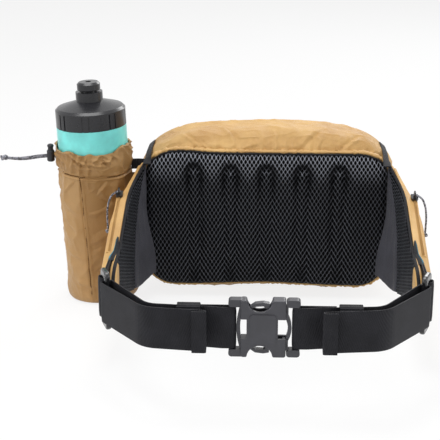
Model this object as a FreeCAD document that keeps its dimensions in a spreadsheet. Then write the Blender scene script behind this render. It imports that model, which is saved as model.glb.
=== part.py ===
"""Waist pack with a bottle pocket: padded back panel, two hip wings, webbing belt and side-release buckle.

Frame: +X to the wearer's right-hand side of the belt buckle seen from inside the belt, +Y away from
the wearer, +Z up. The origin is on the ground, on the centre line, in the face of the back panel.
"""

import FreeCAD, Part
import math
import os
import re

import Sketcher
from FreeCAD import Placement, Rotation, Vector

# Driving dimensions in millimetres and degrees. Each has its own cell and alias in the sheet.
SIZES = {
    # clearances
    "cloth_gap": 0.3,
    "running_gap": 0.3,
    "thread_gap": 0.4,
    # padded back panel
    "panel_width": 250.0,
    "panel_low": 16.0,
    "panel_high": 158.0,
    "panel_corner": 28.0,
    "mesh_depth": 6.0,
    "foam_depth": 5.0,
    "foam_inset": 1.0,
    "groove_width": 6.0,
    "groove_depth": 3.5,
    "groove_pitch": 38.0,
    "groove_low": 37.0,
    "groove_high": 143.0,
    "binding_width": 3.0,
    "binding_depth": 6.0,
    "panel_edge_round": 2.5,
    # main compartment
    "bag_depth": 95.0,
    "bag_overhang": 9.0,
    "bag_high": 183.0,
    "bag_round": 30.0,
    "side_near": 14.0,
    "side_far": 27.0,
    "side_low": 34.0,
    "side_high": 49.0,
    "side_round": 15.0,
    "facet_reach": 20.0,
    # front pocket on the far side
    "pocket_half_width": 80.0,
    "pocket_low": 22.0,
    "pocket_high": 128.0,
    "pocket_depth": 18.0,
    "pocket_corner": 20.0,
    "pocket_round": 7.0,
    # zips
    "tape_width": 8.0,
    "tape_depth": 1.2,
    "coil_width": 2.4,
    "coil_depth": 1.2,
    "main_zip_length": 176.0,
    "front_zip_length": 124.0,
    "wing_zip_length": 104.0,
    "slider_length": 9.0,
    "slider_width": 7.0,
    "slider_plate": 1.4,
    "bail_length": 5.4,
    "bail_width": 1.6,
    "bail_opening": 4.6,
    "bail_wall": 1.0,
    "pull_length": 22.0,
    "pull_width": 6.0,
    "pull_depth": 1.2,
    "pull_eye": 2.4,
    "pull_eye_length": 4.4,
    "pull_pin": 1.4,
    # hip wings
    "wing_gap": 1.2,
    "wing_spread": 13.5,
    "wing_length": 186.0,
    "wing_pad_depth": 6.0,
    "wing_pocket_depth": 10.0,
    "wing_pocket_start": 29.0,
    "wing_pocket_inset": 14.0,
    "wing_pocket_nose": 41.0,
    "wing_pocket_drop": 7.0,
    "wing_pocket_low": 30.0,
    "wing_pocket_toe": 16.0,
    "wing_pocket_margin": 7.0,
    "wing_pocket_round": 20.0,
    "wing_root_high": 150.0,
    "wing_root_low": 9.0,
    "wing_zip_high": 131.0,
    "wing_zip_fall": 36.0,
    "wing_root_lap": 8.0,
    "wing_crest_y": 60.0,
    "wing_crest_high": 121.0,
    "wing_crest_round": 80.0,
    "wing_fall_y": 128.0,
    "wing_fall_high": 99.0,
    "wing_fall_round": 100.0,
    "wing_belly_y": 85.0,
    "wing_belly_rise": 4.0,
    "wing_belly_round": 60.0,
    "wing_throat_y": 40.0,
    "wing_throat_low": 23.0,
    "wing_bend_y": 40.0,
    "wing_bend_round": 120.0,
    "wing_end_round": 24.0,
    "wing_front_high": 95.0,
    "wing_front_low": 33.0,
    "panel_foot": 38.0,
    "panel_foot_low": 20.0,
    "zip_start": 36.0,
    # wing-end sliders of the belt
    "belt_height": 80.0,
    "webbing_width": 38.0,
    "webbing_depth": 1.6,
    "ring_height": 56.0,
    "ring_pitch": 15.0,
    "ring_bar": 5.4,
    "ring_depth": 5.0,
    "ring_end": 7.5,
    "ring_offset": 7.9,
    "ring_reach": 13.0,
    "ring_angle": 20.0,
    "ring_loop": 3.7,
    "strap_loop": 5.6,
    "strap_seat": 4.3,
    "tab_length": 36.0,
    # buckle
    "buckle_y": 265.0,
    "buckle_height": 52.4,
    "buckle_depth": 11.0,
    "mouth_x": 18.2,
    "mouth_gap": 0.4,
    "housing_left": 20.5,
    "lug_left": 31.0,
    "lug_inner": 19.6,
    "lug_depth": 8.0,
    "web_bar_left": 28.0,
    "web_bar_right": 27.2,
    "web_bar": 3.2,
    "bow_bar": 3.2,
    "bow_rise": 3.6,
    "window_height": 18.0,
    "window_left": 15.4,
    "window_right": 11.4,
    "notch_radius": 11.0,
    "notch_x": 4.2,
    "notch_floor": 15.6,
    "cavity_depth": 6.6,
    "cavity_half_height": 20.6,
    "cavity_left": 13.9,
    "male_right": 30.4,
    "arm_depth": 5.6,
    "arm_pivot_x": 17.0,
    "arm_pivot_z": 15.8,
    "arm_root": 1.8,
    "arm_head_z": 23.4,
    "arm_strip": 3.2,
    "arm_tip_x": 13.2,
    "arm_catch_x": 4.0,
    "raised_depth": 0.8,
    "notch_lip": 1.5,
    "buckle_round": 1.0,
    # belt runs
    "bend_x": 104.0,
    "bend_outset": 4.0,
    "inner_bend_x": 101.5,
    "inner_bend_inset": 4.0,
    "bend_radius": 26.0,
    "return_length": 34.0,
    "tail_end": 50.0,
    "tail_outset": 10.5,
    "hem_length": 12.0,
    "keeper_right": 73.5,
    "keeper_left": 65.0,
    "keeper_length": 20.0,
    "keeper_wall": 1.6,
    # compression straps and ladder locks
    "trim_width": 8.0,
    "trim_depth": 1.4,
    "trim_inset": 9.0,
    "trim_root_y": 5.0,
    "trim_root_drop": 0.5,
    "trim_near_drop": 4.1,
    "trim_crown_y": 26.0,
    "trim_crown_gap": 3.1,
    "trim_far_gap": 2.3,
    "trim_near_round": 14.0,
    "trim_crown_round": 40.0,
    "trim_far_round": 24.0,
    "ladder_height": 18.0,
    "ladder_width": 14.0,
    "ladder_depth": 3.0,
    "ladder_z": 100.0,
    # bottle and its pocket
    "bottle_offset": 42.0,
    "bottle_y": 10.0,
    "bottle_lean": 2.4,
    "bottle_radius": 36.5,
    "bottle_wall": 1.5,
    "bottle_foot": 4.0,
    "bottle_high": 184.6,
    "neck_radius": 33.0,
    "neck_length": 14.0,
    "floor_gap": 0.4,
    "pocket_wall": 1.8,
    "bottle_gap": 0.8,
    "hem_low": 141.0,
    "hem_high": 165.0,
    "hem_wall": 3.2,
    "bottle_lift": 3.4,
    "lid_skirt": 17.5,
    "lid_dome": 8.5,
    "lid_bevel": 2.5,
    "collar_radius": 14.0,
    "collar_length": 9.5,
    "spout_radius": 8.5,
    "spout_length": 8.1,
    "spout_bore": 3.0,
    "cap_radius": 12.0,
    "cap_depth": 8.5,
    "cap_bevel": 2.0,
    "cap_lift": 1.6,
    "grip_grooves": 8,
    "grip_width": 1.8,
    "grip_spread": 7.0,
    "grip_depth": 1.0,
    "gasket_depth": 1.6,
    "gasket_width": 4.0,
    # joins between the bottle pocket and the bag's side
    "join_start": 10.5,
    "join_reach": 30.0,
    "join_tab_width": 12.0,
    "join_tab_depth": 2.4,
    "join_tab_low": 142.0,
    "join_fin_depth": 2.0,
    "join_fin_low": 34.0,
    "join_fin_high": 132.0,
    # cord lock and draw cord
    "lock_offset": 49.8,
    "lock_y": 2.0,
    "lock_low": 151.0,
    "lock_length": 12.0,
    "lock_radius": 4.0,
    "lock_bore": 2.9,
    "lock_floor": 1.4,
    "mouth_high": 7.0,
    "mouth_low": 4.6,
    "mouth_spread": 1.426,
    "plunger_head": 3.4,
    "plunger_rise": 3.4,
    "plunger_foot": 4.0,
    "spring_wire": 0.5,
    "spring_radius": 1.9,
    "spring_angles": 4,
    "draw_cord": 2.3,
    "knot_size": 8.5,
    "pull_cord": 2.0,
    "pull_knot": 5.6,
}

# places that several pieces share, as expressions of sizes
BAG_HALF = "(panel_width / 2 + bag_overhang)"
WING_X = "(panel_width / 2 + wing_spread)"
RING_X = f"({WING_X} + ring_offset)"
BOTTLE_X = f"({BAG_HALF} + bottle_offset)"
LOCK_X = f"({BOTTLE_X} + lock_offset)"
LOCK_HIGH = "(lock_low + lock_length)"
TRIM_X = f"({BAG_HALF} - trim_inset)"
RING_Y = "(wing_length + ring_reach)"
TAB_ANCHOR = "(wing_length - tab_length)"

doc = FreeCAD.newDocument("waist_pack")
sheet = doc.addObject("Spreadsheet::Sheet", "sizes")
for line, (alias, amount) in enumerate(SIZES.items(), start=1):
    sheet.set(f"A{line}", alias)
    sheet.set(f"B{line}", str(amount))
    sheet.setAlias(f"B{line}", alias)
doc.recompute()

finished = []


# ---------------------------------------------------------------- helpers: sizes and placement


def bound(text):
    """An expression with each size's name turned into its cell in the sheet."""
    return re.sub(r"[a-z_]+", lambda m: f"sizes.{m[0]}" if m[0] in SIZES else m[0], text)


def value(text):
    """What an expression of sizes comes to now."""
    return float(sheet.evalExpression(bound(text)))


def tie(thing, name, text):
    """Binds a property to an expression of sizes."""
    thing.setExpression(name, bound(text))


def place(thing, x="0", y="0", z="0", turn=None):
    """Stands an object at bound coordinates, turned first where a Rotation is given."""
    spot = Vector(value(x), value(y), value(z))
    thing.Placement = Placement(spot, turn or Rotation())
    for name, text in zip("xyz", (x, y, z)):
        tie(thing, f"Placement.Base.{name}", text)


def finish(thing, label):
    """Marks an object as one sub-part of the pack, under the name of its node."""
    thing.Label = label
    finished.append(thing)
    return thing


# ---------------------------------------------------------------- helpers: sketches and features


def new_body(name):
    return doc.addObject("PartDesign::Body", name)


def sketch_on(body, role, offset="0"):
    """A sketch on one of the body's own origin planes, moved along that plane's normal."""
    sketch = body.newObject("Sketcher::SketchObject", body.Name + "_sketch")
    plane = [f for f in body.Origin.OriginFeatures if f.Role == role][0]
    sketch.AttachmentSupport = [(plane, "")]
    sketch.MapMode = "FlatFace"
    tie(sketch, "AttachmentOffset.Base.z", offset)
    return sketch


def pin_point(sketch, geometry, end, x, y):
    """Holds one point of a sketch at bound coordinates."""
    for kind, text in (("DistanceX", x), ("DistanceY", y)):
        index = sketch.addConstraint(Sketcher.Constraint(kind, geometry, end, value(text)))
        tie(sketch, f"Constraints[{index}]", text)


def polygon(sketch, corners):
    """A closed outline of straight lines through corners given as pairs of expressions."""
    spots = [Vector(value(x), value(y), 0) for x, y in corners]
    first = sketch.GeometryCount
    count = len(spots)
    for i in range(count):
        sketch.addGeometry(Part.LineSegment(spots[i], spots[(i + 1) % count]), False)
    for i in range(count):
        after = first + (i + 1) % count
        sketch.addConstraint(Sketcher.Constraint("Coincident", first + i, 2, after, 1))
    for i, (x, y) in enumerate(corners):
        pin_point(sketch, first + i, 1, x, y)
    return sketch


def rectangle(sketch, left, right, low, high):
    return polygon(sketch, [(left, low), (right, low), (right, high), (left, high)])


def circle(sketch, x, y, radius):
    """A bound circle."""
    round_line = Part.Circle(Vector(value(x), value(y), 0), Vector(0, 0, 1), value(radius))
    index = sketch.addGeometry(round_line, False)
    held = sketch.addConstraint(Sketcher.Constraint("Radius", index, value(radius)))
    tie(sketch, f"Constraints[{held}]", radius)
    pin_point(sketch, index, 3, x, y)
    return sketch


def round_rectangle(sketch, left, right, low, high, radius):
    """Four lines and four equal tangent arcs, held at the four sides."""
    x0, x1, y0, y1, r = (value(text) for text in (left, right, low, high, radius))
    first = sketch.GeometryCount
    lines = [
        (Vector(x0 + r, y0, 0), Vector(x1 - r, y0, 0)),
        (Vector(x1, y0 + r, 0), Vector(x1, y1 - r, 0)),
        (Vector(x1 - r, y1, 0), Vector(x0 + r, y1, 0)),
        (Vector(x0, y1 - r, 0), Vector(x0, y0 + r, 0)),
    ]
    for start, end in lines:
        sketch.addGeometry(Part.LineSegment(start, end), False)
    centres = [(x1 - r, y0 + r), (x1 - r, y1 - r), (x0 + r, y1 - r), (x0 + r, y0 + r)]
    for quarter, (x, y) in enumerate(centres):
        whole = Part.Circle(Vector(x, y, 0), Vector(0, 0, 1), r)
        turn = (quarter - 1) * math.pi / 2
        sketch.addGeometry(Part.ArcOfCircle(whole, turn, turn + math.pi / 2), False)
    for i in range(4):
        arc, after = first + 4 + i, first + (i + 1) % 4
        sketch.addConstraint(Sketcher.Constraint("Tangent", first + i, 2, arc, 1))
        sketch.addConstraint(Sketcher.Constraint("Tangent", arc, 2, after, 1))
        level = "Horizontal" if i % 2 == 0 else "Vertical"
        sketch.addConstraint(Sketcher.Constraint(level, first + i))
        if i:
            sketch.addConstraint(Sketcher.Constraint("Equal", first + 4, arc))
    held = sketch.addConstraint(Sketcher.Constraint("Radius", first + 4, r))
    tie(sketch, f"Constraints[{held}]", radius)
    sides = [("DistanceY", 0, low), ("DistanceX", 1, right), ("DistanceY", 2, high), ("DistanceX", 3, left)]
    for kind, i, text in sides:
        held = sketch.addConstraint(Sketcher.Constraint(kind, first + i, 1, value(text)))
        tie(sketch, f"Constraints[{held}]", text)
    return sketch


def feature(body, kind, sketch):
    made = body.newObject(f"PartDesign::{kind}", f"{body.Name}_{kind.lower()}")
    made.Profile = sketch
    return made


def pad(body, sketch, length, back=False, both=False):
    """Adds material on the sketch, along its normal, against it, or half each way."""
    made = feature(body, "Pad", sketch)
    tie(made, "Length", length)
    made.Reversed = back
    made.Midplane = both
    return made


def pocket(body, sketch, length, back=False, both=False):
    """Takes material away behind the sketch, and makes sure that some went."""
    doc.recompute()
    before = body.Shape.Volume
    made = feature(body, "Pocket", sketch)
    tie(made, "Length", length)
    made.Reversed = back
    made.Midplane = both
    doc.recompute()
    if not body.Shape.Volume < before:
        raise ValueError(f"a pocket in {body.Name} cuts nothing")
    return made


def spin(body, sketch, kind="Revolution"):
    """Turns a half section about the sketch's upright axis."""
    made = feature(body, kind, sketch)
    made.ReferenceAxis = (sketch, ["V_Axis"])
    made.Angle = 360
    return made


def repeat_round(body, cut, sketch, count):
    """Copies a cut round the upright axis of the sketch that it was drawn on."""
    ring = body.newObject("PartDesign::PolarPattern", body.Name + "_ring")
    ring.Originals = [cut]
    ring.Axis = (sketch, ["N_Axis"])
    ring.Angle = 360
    tie(ring, "Occurrences", count)
    body.Tip = ring
    return ring


def soften(body, radius, chosen):
    """Rounds the edges that a test picks, after the body is worked out."""
    doc.recompute()
    base = body.Tip
    names = [f"Edge{i}" for i, edge in enumerate(base.Shape.Edges, start=1) if chosen(edge)]
    made = body.newObject("PartDesign::Fillet", body.Name + "_fillet")
    made.Base = (base, names)
    tie(made, "Radius", radius)
    doc.recompute()
    return made


def part_box(name, sizes, corner, turn=None):
    """A Part box of bound size, standing at its lowest corner."""
    box = doc.addObject("Part::Box", name)
    for side, text in zip(("Length", "Width", "Height"), sizes):
        tie(box, side, text)
    place(box, *corner, turn=turn)
    return box


def part_cylinder(name, radius, height, foot, turn=None):
    """A Part cylinder of bound size, standing on the centre of its lower end."""
    tube = doc.addObject("Part::Cylinder", name)
    tie(tube, "Radius", radius)
    tie(tube, "Height", height)
    place(tube, *foot, turn=turn)
    return tube


def cut(name, base, tool):
    made = doc.addObject("Part::Cut", name)
    made.Base = base
    made.Tool = tool
    return made


def common(name, base, tool):
    made = doc.addObject("Part::Common", name)
    made.Base = base
    made.Tool = tool
    return made


def fuse(name, *pieces):
    made = doc.addObject("Part::MultiFuse", name)
    made.Shapes = list(pieces)
    made.Refine = True
    return made


def mirrored(name, source):
    """The same piece on the other side of the centre line."""
    made = doc.addObject("Part::Mirroring", name)
    made.Source = source
    made.Normal = (1, 0, 0)
    return made


def solid(name, shape):
    """A shape worked out by Part's own functions, kept as an object of the document."""
    made = doc.addObject("Part::Feature", name)
    made.Shape = shape
    return made


# ---------------------------------------------------------------- helpers: bands and cords


def arc_parts(corner, before, after, radius):
    """Start, middle and end of the arc that rounds a corner between two directions."""
    half = before.getAngle(after) / 2
    setback = radius * math.tan(half)
    inward = (after - before).normalize()
    middle = corner + inward * (radius / math.cos(half) - radius)
    return corner - before * setback, middle, corner + after * setback


def rounded_run(corners, radii):
    """Edges of straight runs joined by tangent arcs."""
    ways = [(b - a).normalize() for a, b in zip(corners, corners[1:])]
    edges = []
    start = corners[0]
    for i, radius in enumerate(radii):
        a, middle, b = arc_parts(corners[i + 1], ways[i], ways[i + 1], radius)
        if (a - start).Length > 1e-6:
            edges.append(Part.LineSegment(start, a).toShape())
        edges.append(Part.Arc(a, middle, b).toShape())
        start = b
    if (corners[-1] - start).Length > 1e-6:
        edges.append(Part.LineSegment(start, corners[-1]).toShape())
    return edges


def shifted_run(points, radii, shift):
    """The same run moved sideways in the XY plane, its arcs about the same centres."""
    ways = [(b - a).normalize() for a, b in zip(points, points[1:])]
    sides = [Vector(-way.y, way.x, 0) for way in ways]
    corners = [points[0] + sides[0] * shift]
    rounds = []
    for i, radius in enumerate(radii):
        before, after = ways[i], ways[i + 1]
        corners.append(points[i + 1] + (sides[i] + sides[i + 1]) * (shift / (1 + before.dot(after))))
        turns_left = before.x * after.y - before.y * after.x > 0
        rounds.append(radius - shift if turns_left else radius + shift)
    corners.append(points[-1] + sides[-1] * shift)
    return rounded_run(corners, rounds)


def ends(edges):
    """The first and the last point of a run of edges."""
    return edges[0].valueAt(edges[0].FirstParameter), edges[-1].valueAt(edges[-1].LastParameter)


def band(points, radii, right, left, low, high):
    """A strip that stands on a plan route, between two distances from it and two heights."""
    points = [Vector(x, y, 0) for x, y in points]
    one, other = shifted_run(points, radii, -right), shifted_run(points, radii, left)
    (a, b), (c, d) = ends(one), ends(other)
    caps = [Part.LineSegment(a, c).toShape(), Part.LineSegment(b, d).toShape()]
    wire = Part.Wire(Part.__sortEdges__(one + other + caps))
    shape = Part.Face(wire).extrude(Vector(0, 0, high - low))
    shape.translate(Vector(0, 0, low))
    return shape


def side_slab(outline, radii, half_width, middle):
    """A slab whose side view, in Y and Z, is a closed outline with rounded corners."""
    points = [Vector(0, y, z) for y, z in outline]
    ways = [(b - a).normalize() for a, b in zip(points, points[1:] + points[:1])]
    edges = []
    rounds = []
    for i, radius in enumerate(radii):
        if radius:
            rounds.append(arc_parts(points[i], ways[i - 1], ways[i], radius))
        else:
            rounds.append((points[i], None, points[i]))
    for i, (a, middle_point, b) in enumerate(rounds):
        if middle_point:
            edges.append(Part.Arc(a, middle_point, b).toShape())
        after = rounds[(i + 1) % len(rounds)][0]
        if (after - b).Length > 1e-6:
            edges.append(Part.LineSegment(b, after).toShape())
    face = Part.Face(Part.Wire(edges))
    shape = face.extrude(Vector(2 * half_width, 0, 0))
    shape.translate(Vector(middle - half_width, 0, 0))
    return shape


def cord_solid(name, route, thickness):
    """A tube along straight runs with arcs as large as each pair of runs allows."""
    points = [Vector(*p) for p in route]
    ways = [(b - a).normalize() for a, b in zip(points, points[1:])]
    runs = [(b - a).Length for a, b in zip(points, points[1:])]
    radii = []
    for i in range(len(points) - 2):
        half = ways[i].getAngle(ways[i + 1]) / 2
        radii.append(0.45 * min(runs[i], runs[i + 1]) / math.tan(half))
    path = Part.Wire(rounded_run(points, radii))
    ring = Part.Circle(points[0], ways[0], thickness / 2).toShape()
    tube = path.makePipeShell([Part.Wire(ring)], True, True)
    expected = math.pi * thickness**2 / 4 * path.Length
    print(f"{name}: length {path.Length:.1f}, radii {[round(r, 1) for r in radii]},"
          f" volume {tube.Volume / expected:.4f} of section times length")
    return solid(name, tube)


# ---------------------------------------------------------------- back panel


def back_panel():
    """Grooved spacer-mesh face, foam behind it and the binding round their edge."""
    side, low, high, corner = "panel_width / 2", "panel_low", "panel_high", "panel_corner"
    mesh = new_body("back_panel_mesh")
    face = round_rectangle(sketch_on(mesh, "XZ_Plane"), f"-{side}", side, low, high, corner)
    pad(mesh, face, "mesh_depth", back=True)
    soften(mesh, "panel_edge_round", lambda edge: edge.BoundBox.YMax < 0.01)
    lane = sketch_on(mesh, "XZ_Plane")
    polygon(lane, [
        ("-groove_width / 2 - 2 * groove_pitch", "groove_low"),
        ("groove_width / 2 - 2 * groove_pitch", "groove_low"),
        ("groove_width / 2 - 2 * groove_pitch", "groove_high - 2 * groove_width"),
        ("-2 * groove_pitch", "groove_high"),
        ("-groove_width / 2 - 2 * groove_pitch", "groove_high - 2 * groove_width"),
    ])
    groove = pocket(mesh, lane, "groove_depth", back=False)
    row = mesh.newObject("PartDesign::LinearPattern", "groove_row")
    row.Originals = [groove]
    row.Direction = (lane, ["H_Axis"])
    tie(row, "Length", "4 * groove_pitch")
    row.Occurrences = 5
    mesh.Tip = row
    finish(mesh, "back_panel_mesh")

    foam = new_body("back_panel_foam")
    core = sketch_on(foam, "XZ_Plane", "-mesh_depth")
    inset = "foam_inset"
    round_rectangle(core, f"-{side} + {inset}", f"{side} - {inset}", f"{low} + {inset}",
                    f"{high} - {inset}", f"{corner} - {inset}")
    pad(foam, core, "foam_depth", back=True)
    finish(foam, "back_panel_foam")

    binding = new_body("back_panel_binding")
    edge = sketch_on(binding, "XZ_Plane", "-(mesh_depth + foam_depth - binding_depth)")
    wide = "binding_width"
    round_rectangle(edge, f"-{side} - {wide}", f"{side} + {wide}", f"{low} - {wide}",
                    f"{high} + {wide}", f"{corner} + {wide}")
    round_rectangle(edge, f"-{side}", side, low, high, corner)
    pad(binding, edge, "binding_depth", back=True)
    soften(binding, "binding_width / 3",
           lambda e: e.BoundBox.YLength < 0.01 and e.BoundBox.YMax < value("mesh_depth"))
    finish(binding, "back_panel_binding")


# ---------------------------------------------------------------- main compartment and front pocket

# steps of the loft from the centre line to each side
LOFT_STEPS = 7


def main_compartment():
    """Loaf-shaped cloth body: one lofted half and its mirror, trimmed flat at the back and the base."""
    loaf = new_body("bag_loaf")
    front = "mesh_depth + foam_depth"
    sketches = []
    for step in range(LOFT_STEPS + 1):
        # sections crowd toward the side as a quarter turn does, and each size falls with that turn
        turn = 90 * step / LOFT_STEPS
        away = sketch_on(loaf, "YZ_Plane", f"{BAG_HALF} * sin({turn})")
        fall = f"(1 - cos({turn}))"
        sketches.append(round_rectangle(
            away, f"{front} + side_near * {fall}^2", f"bag_depth - side_far * {fall}^2",
            f"side_low * {fall}^2", f"bag_high - side_high * {fall}^1.2",
            f"bag_round - side_round * {fall}"))
    half = feature(loaf, "AdditiveLoft", sketches[0])
    half.Sections = sketches[1:]
    other = loaf.newObject("PartDesign::Mirrored", "bag_other_half")
    other.Originals = [half]
    other.MirrorPlane = ([f for f in loaf.Origin.OriginFeatures if f.Role == "YZ_Plane"][0], [""])
    loaf.Tip = other
    trim = part_box("bag_trim", (f"3 * {BAG_HALF}", f"bag_depth - ({front})", "bag_high"),
                    (f"-1.5 * {BAG_HALF}", front, "0"))
    trimmed = common("bag_trimmed", loaf, trim)
    # the zip lies on a flat made along the rounded edge between top and far side
    reach = "facet_reach"
    facet = part_box("zip_flat_cutter", (f"2 * {BAG_HALF}", "60", "20"),
                     (f"-{BAG_HALF}",
                      f"bag_depth - bag_round + ({reach} - 30) * sqrt(0.5)",
                      f"bag_high - bag_round + ({reach} + 30) * sqrt(0.5)"),
                     turn=Rotation(Vector(1, 0, 0), -45))
    return finish(cut("main_compartment", trimmed, facet), "main_compartment")


def front_pocket():
    """Flat pocket on the far side, with its outer edges rounded."""
    pouch = new_body("front_pocket")
    outline = sketch_on(pouch, "XZ_Plane", "-bag_depth")
    round_rectangle(outline, "-pocket_half_width", "pocket_half_width", "pocket_low", "pocket_high",
                    "pocket_corner")
    pad(pouch, outline, "pocket_depth", back=True)
    outer = value("bag_depth + pocket_depth")
    soften(pouch, "pocket_round", lambda edge: edge.BoundBox.YMin > outer - 0.01)
    return finish(pouch, "front_pocket")


# ---------------------------------------------------------------- zips


def zip_tape(label, length, spot, turn):
    """Two tapes and the coil between them: the tape is flat and the coil stands along its middle."""
    strip = new_body(label)
    flat = rectangle(sketch_on(strip, "XY_Plane"), "0", length, "-tape_width / 2", "tape_width / 2")
    pad(strip, flat, "tape_depth")
    coil = sketch_on(strip, "XY_Plane", "tape_depth")
    rectangle(coil, "0", length, "-coil_width / 2", "coil_width / 2")
    pad(strip, coil, "coil_depth")
    place(strip, *spot, turn=turn)
    return finish(strip, label)


def zip_slider(label, spot, turn):
    """Slider that straddles the coil: shield-shaped plate, channel and the bail that holds the pull."""
    body = new_body(label)
    floor = "tape_depth + running_gap"
    top = "coil_depth + slider_plate + running_gap"
    shield = sketch_on(body, "XY_Plane", floor)
    polygon(shield, [
        ("-slider_length / 2", "-slider_width / 2"),
        ("slider_length / 4", "-slider_width / 2"),
        ("slider_length / 2", "-slider_width / 4"),
        ("slider_length / 2", "slider_width / 4"),
        ("slider_length / 4", "slider_width / 2"),
        ("-slider_length / 2", "slider_width / 2"),
    ])
    pad(body, shield, top)
    channel = sketch_on(body, "YZ_Plane")
    half = "coil_width / 2 + running_gap"
    rectangle(channel, f"-({half})", half, "tape_depth", "tape_depth + coil_depth + running_gap")
    pocket(body, channel, "3 * slider_length", both=True)
    arch = sketch_on(body, "XZ_Plane")
    roof = f"{floor} + {top}"
    rectangle(arch, "-bail_length / 2", "bail_length / 2", f"{roof} - 0.2",
              f"{roof} + bail_opening + bail_wall")
    pad(body, arch, "bail_width", both=True)
    crest = value(f"{roof} + bail_opening + bail_wall")
    soften(body, "bail_wall", lambda e: e.BoundBox.ZMin > crest - 0.01 and e.BoundBox.XLength < 0.01)
    eye = sketch_on(body, "XZ_Plane")
    rectangle(eye, "-bail_length / 2 + bail_wall", "bail_length / 2 - bail_wall", roof,
              f"{roof} + bail_opening")
    pocket(body, eye, "2 * bail_width", both=True)
    place(body, *spot, turn=turn)
    return finish(body, label)


# height of the pull's pin above the cloth under the tape
PIN_HEIGHT = "tape_depth + coil_depth + slider_plate + 2 * running_gap + pull_depth / 2 + 0.5"


def zip_pull(label, spot, turn):
    """Flat moulded pull: its pin goes through the bail and its eye leaves room for the bail."""
    tab = new_body(label)
    outline = sketch_on(tab, "XY_Plane", "-pull_depth / 2")
    half = "pull_width / 2"
    round_rectangle(outline, "-pull_pin / 2", "pull_length", f"-{half}", half, "pull_pin / 3")
    pad(tab, outline, "pull_depth")
    eye = sketch_on(tab, "XY_Plane", "-pull_depth")
    rectangle(eye, "pull_pin / 2", "pull_pin / 2 + pull_eye_length", "-pull_eye / 2", "pull_eye / 2")
    pocket(tab, eye, "2 * pull_depth", back=True)
    hole = sketch_on(tab, "XY_Plane", "-pull_depth")
    circle(hole, "pull_length - pull_width / 2", "0", "pull_width / 5")
    pocket(tab, hole, "2 * pull_depth", back=True)
    place(tab, *spot, turn=turn)
    return finish(tab, label)


def bag_zips():
    """Main zip on the flat between top and far side with two sliders, and the front pocket's zip."""
    lean = Rotation(Vector(1, 0, 0), -45)
    reach_y = "bag_depth - bag_round + facet_reach * sqrt(0.5)"
    reach_z = "bag_high - bag_round + facet_reach * sqrt(0.5)"
    zip_tape("main_zip_tape", "main_zip_length", ("-main_zip_length / 2", reach_y, reach_z), lean)
    up = PIN_HEIGHT
    for label, side in (("left", "-"), ("right", "")):
        turn = lean if side else lean.multiply(Rotation(Vector(0, 0, 1), 180))
        spot_x = f"{side}(slider_length / 2 + 1)"
        zip_slider(f"main_zip_slider_{label}", (spot_x, reach_y, reach_z), turn)
        away = lean if not side else lean.multiply(Rotation(Vector(0, 0, 1), 180))
        zip_pull(f"main_zip_pull_{label}",
                 (spot_x, f"{reach_y} + ({up}) * sqrt(0.5)", f"{reach_z} + ({up}) * sqrt(0.5)"), away)
    middle = "bag_depth + 0.3 * pocket_depth"
    start = ("-front_zip_length / 2", middle, "pocket_high")
    zip_tape("front_zip_tape", "front_zip_length", start, Rotation())
    spot_x = "front_zip_length / 2 - slider_length"
    zip_slider("front_zip_slider", (spot_x, middle, "pocket_high"), Rotation(Vector(0, 0, 1), 180))
    zip_pull("front_zip_pull", (spot_x, middle, f"pocket_high + {up}"), Rotation(Vector(0, 0, 1), 180))


# ---------------------------------------------------------------- hip wings


def wing_route():
    """Plan route of the right wing's inner face, from its root beside the panel to its front end."""
    reach, start, length = value(WING_X), value("panel_width / 2 + wing_gap"), value("wing_length")
    root_y = value("mesh_depth + foam_depth - binding_depth") - 1
    bend_y, bend_round = value("wing_bend_y"), value("wing_bend_round")
    return [(start, root_y), (reach, -bend_y), (reach, -length)], [bend_round]


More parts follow.
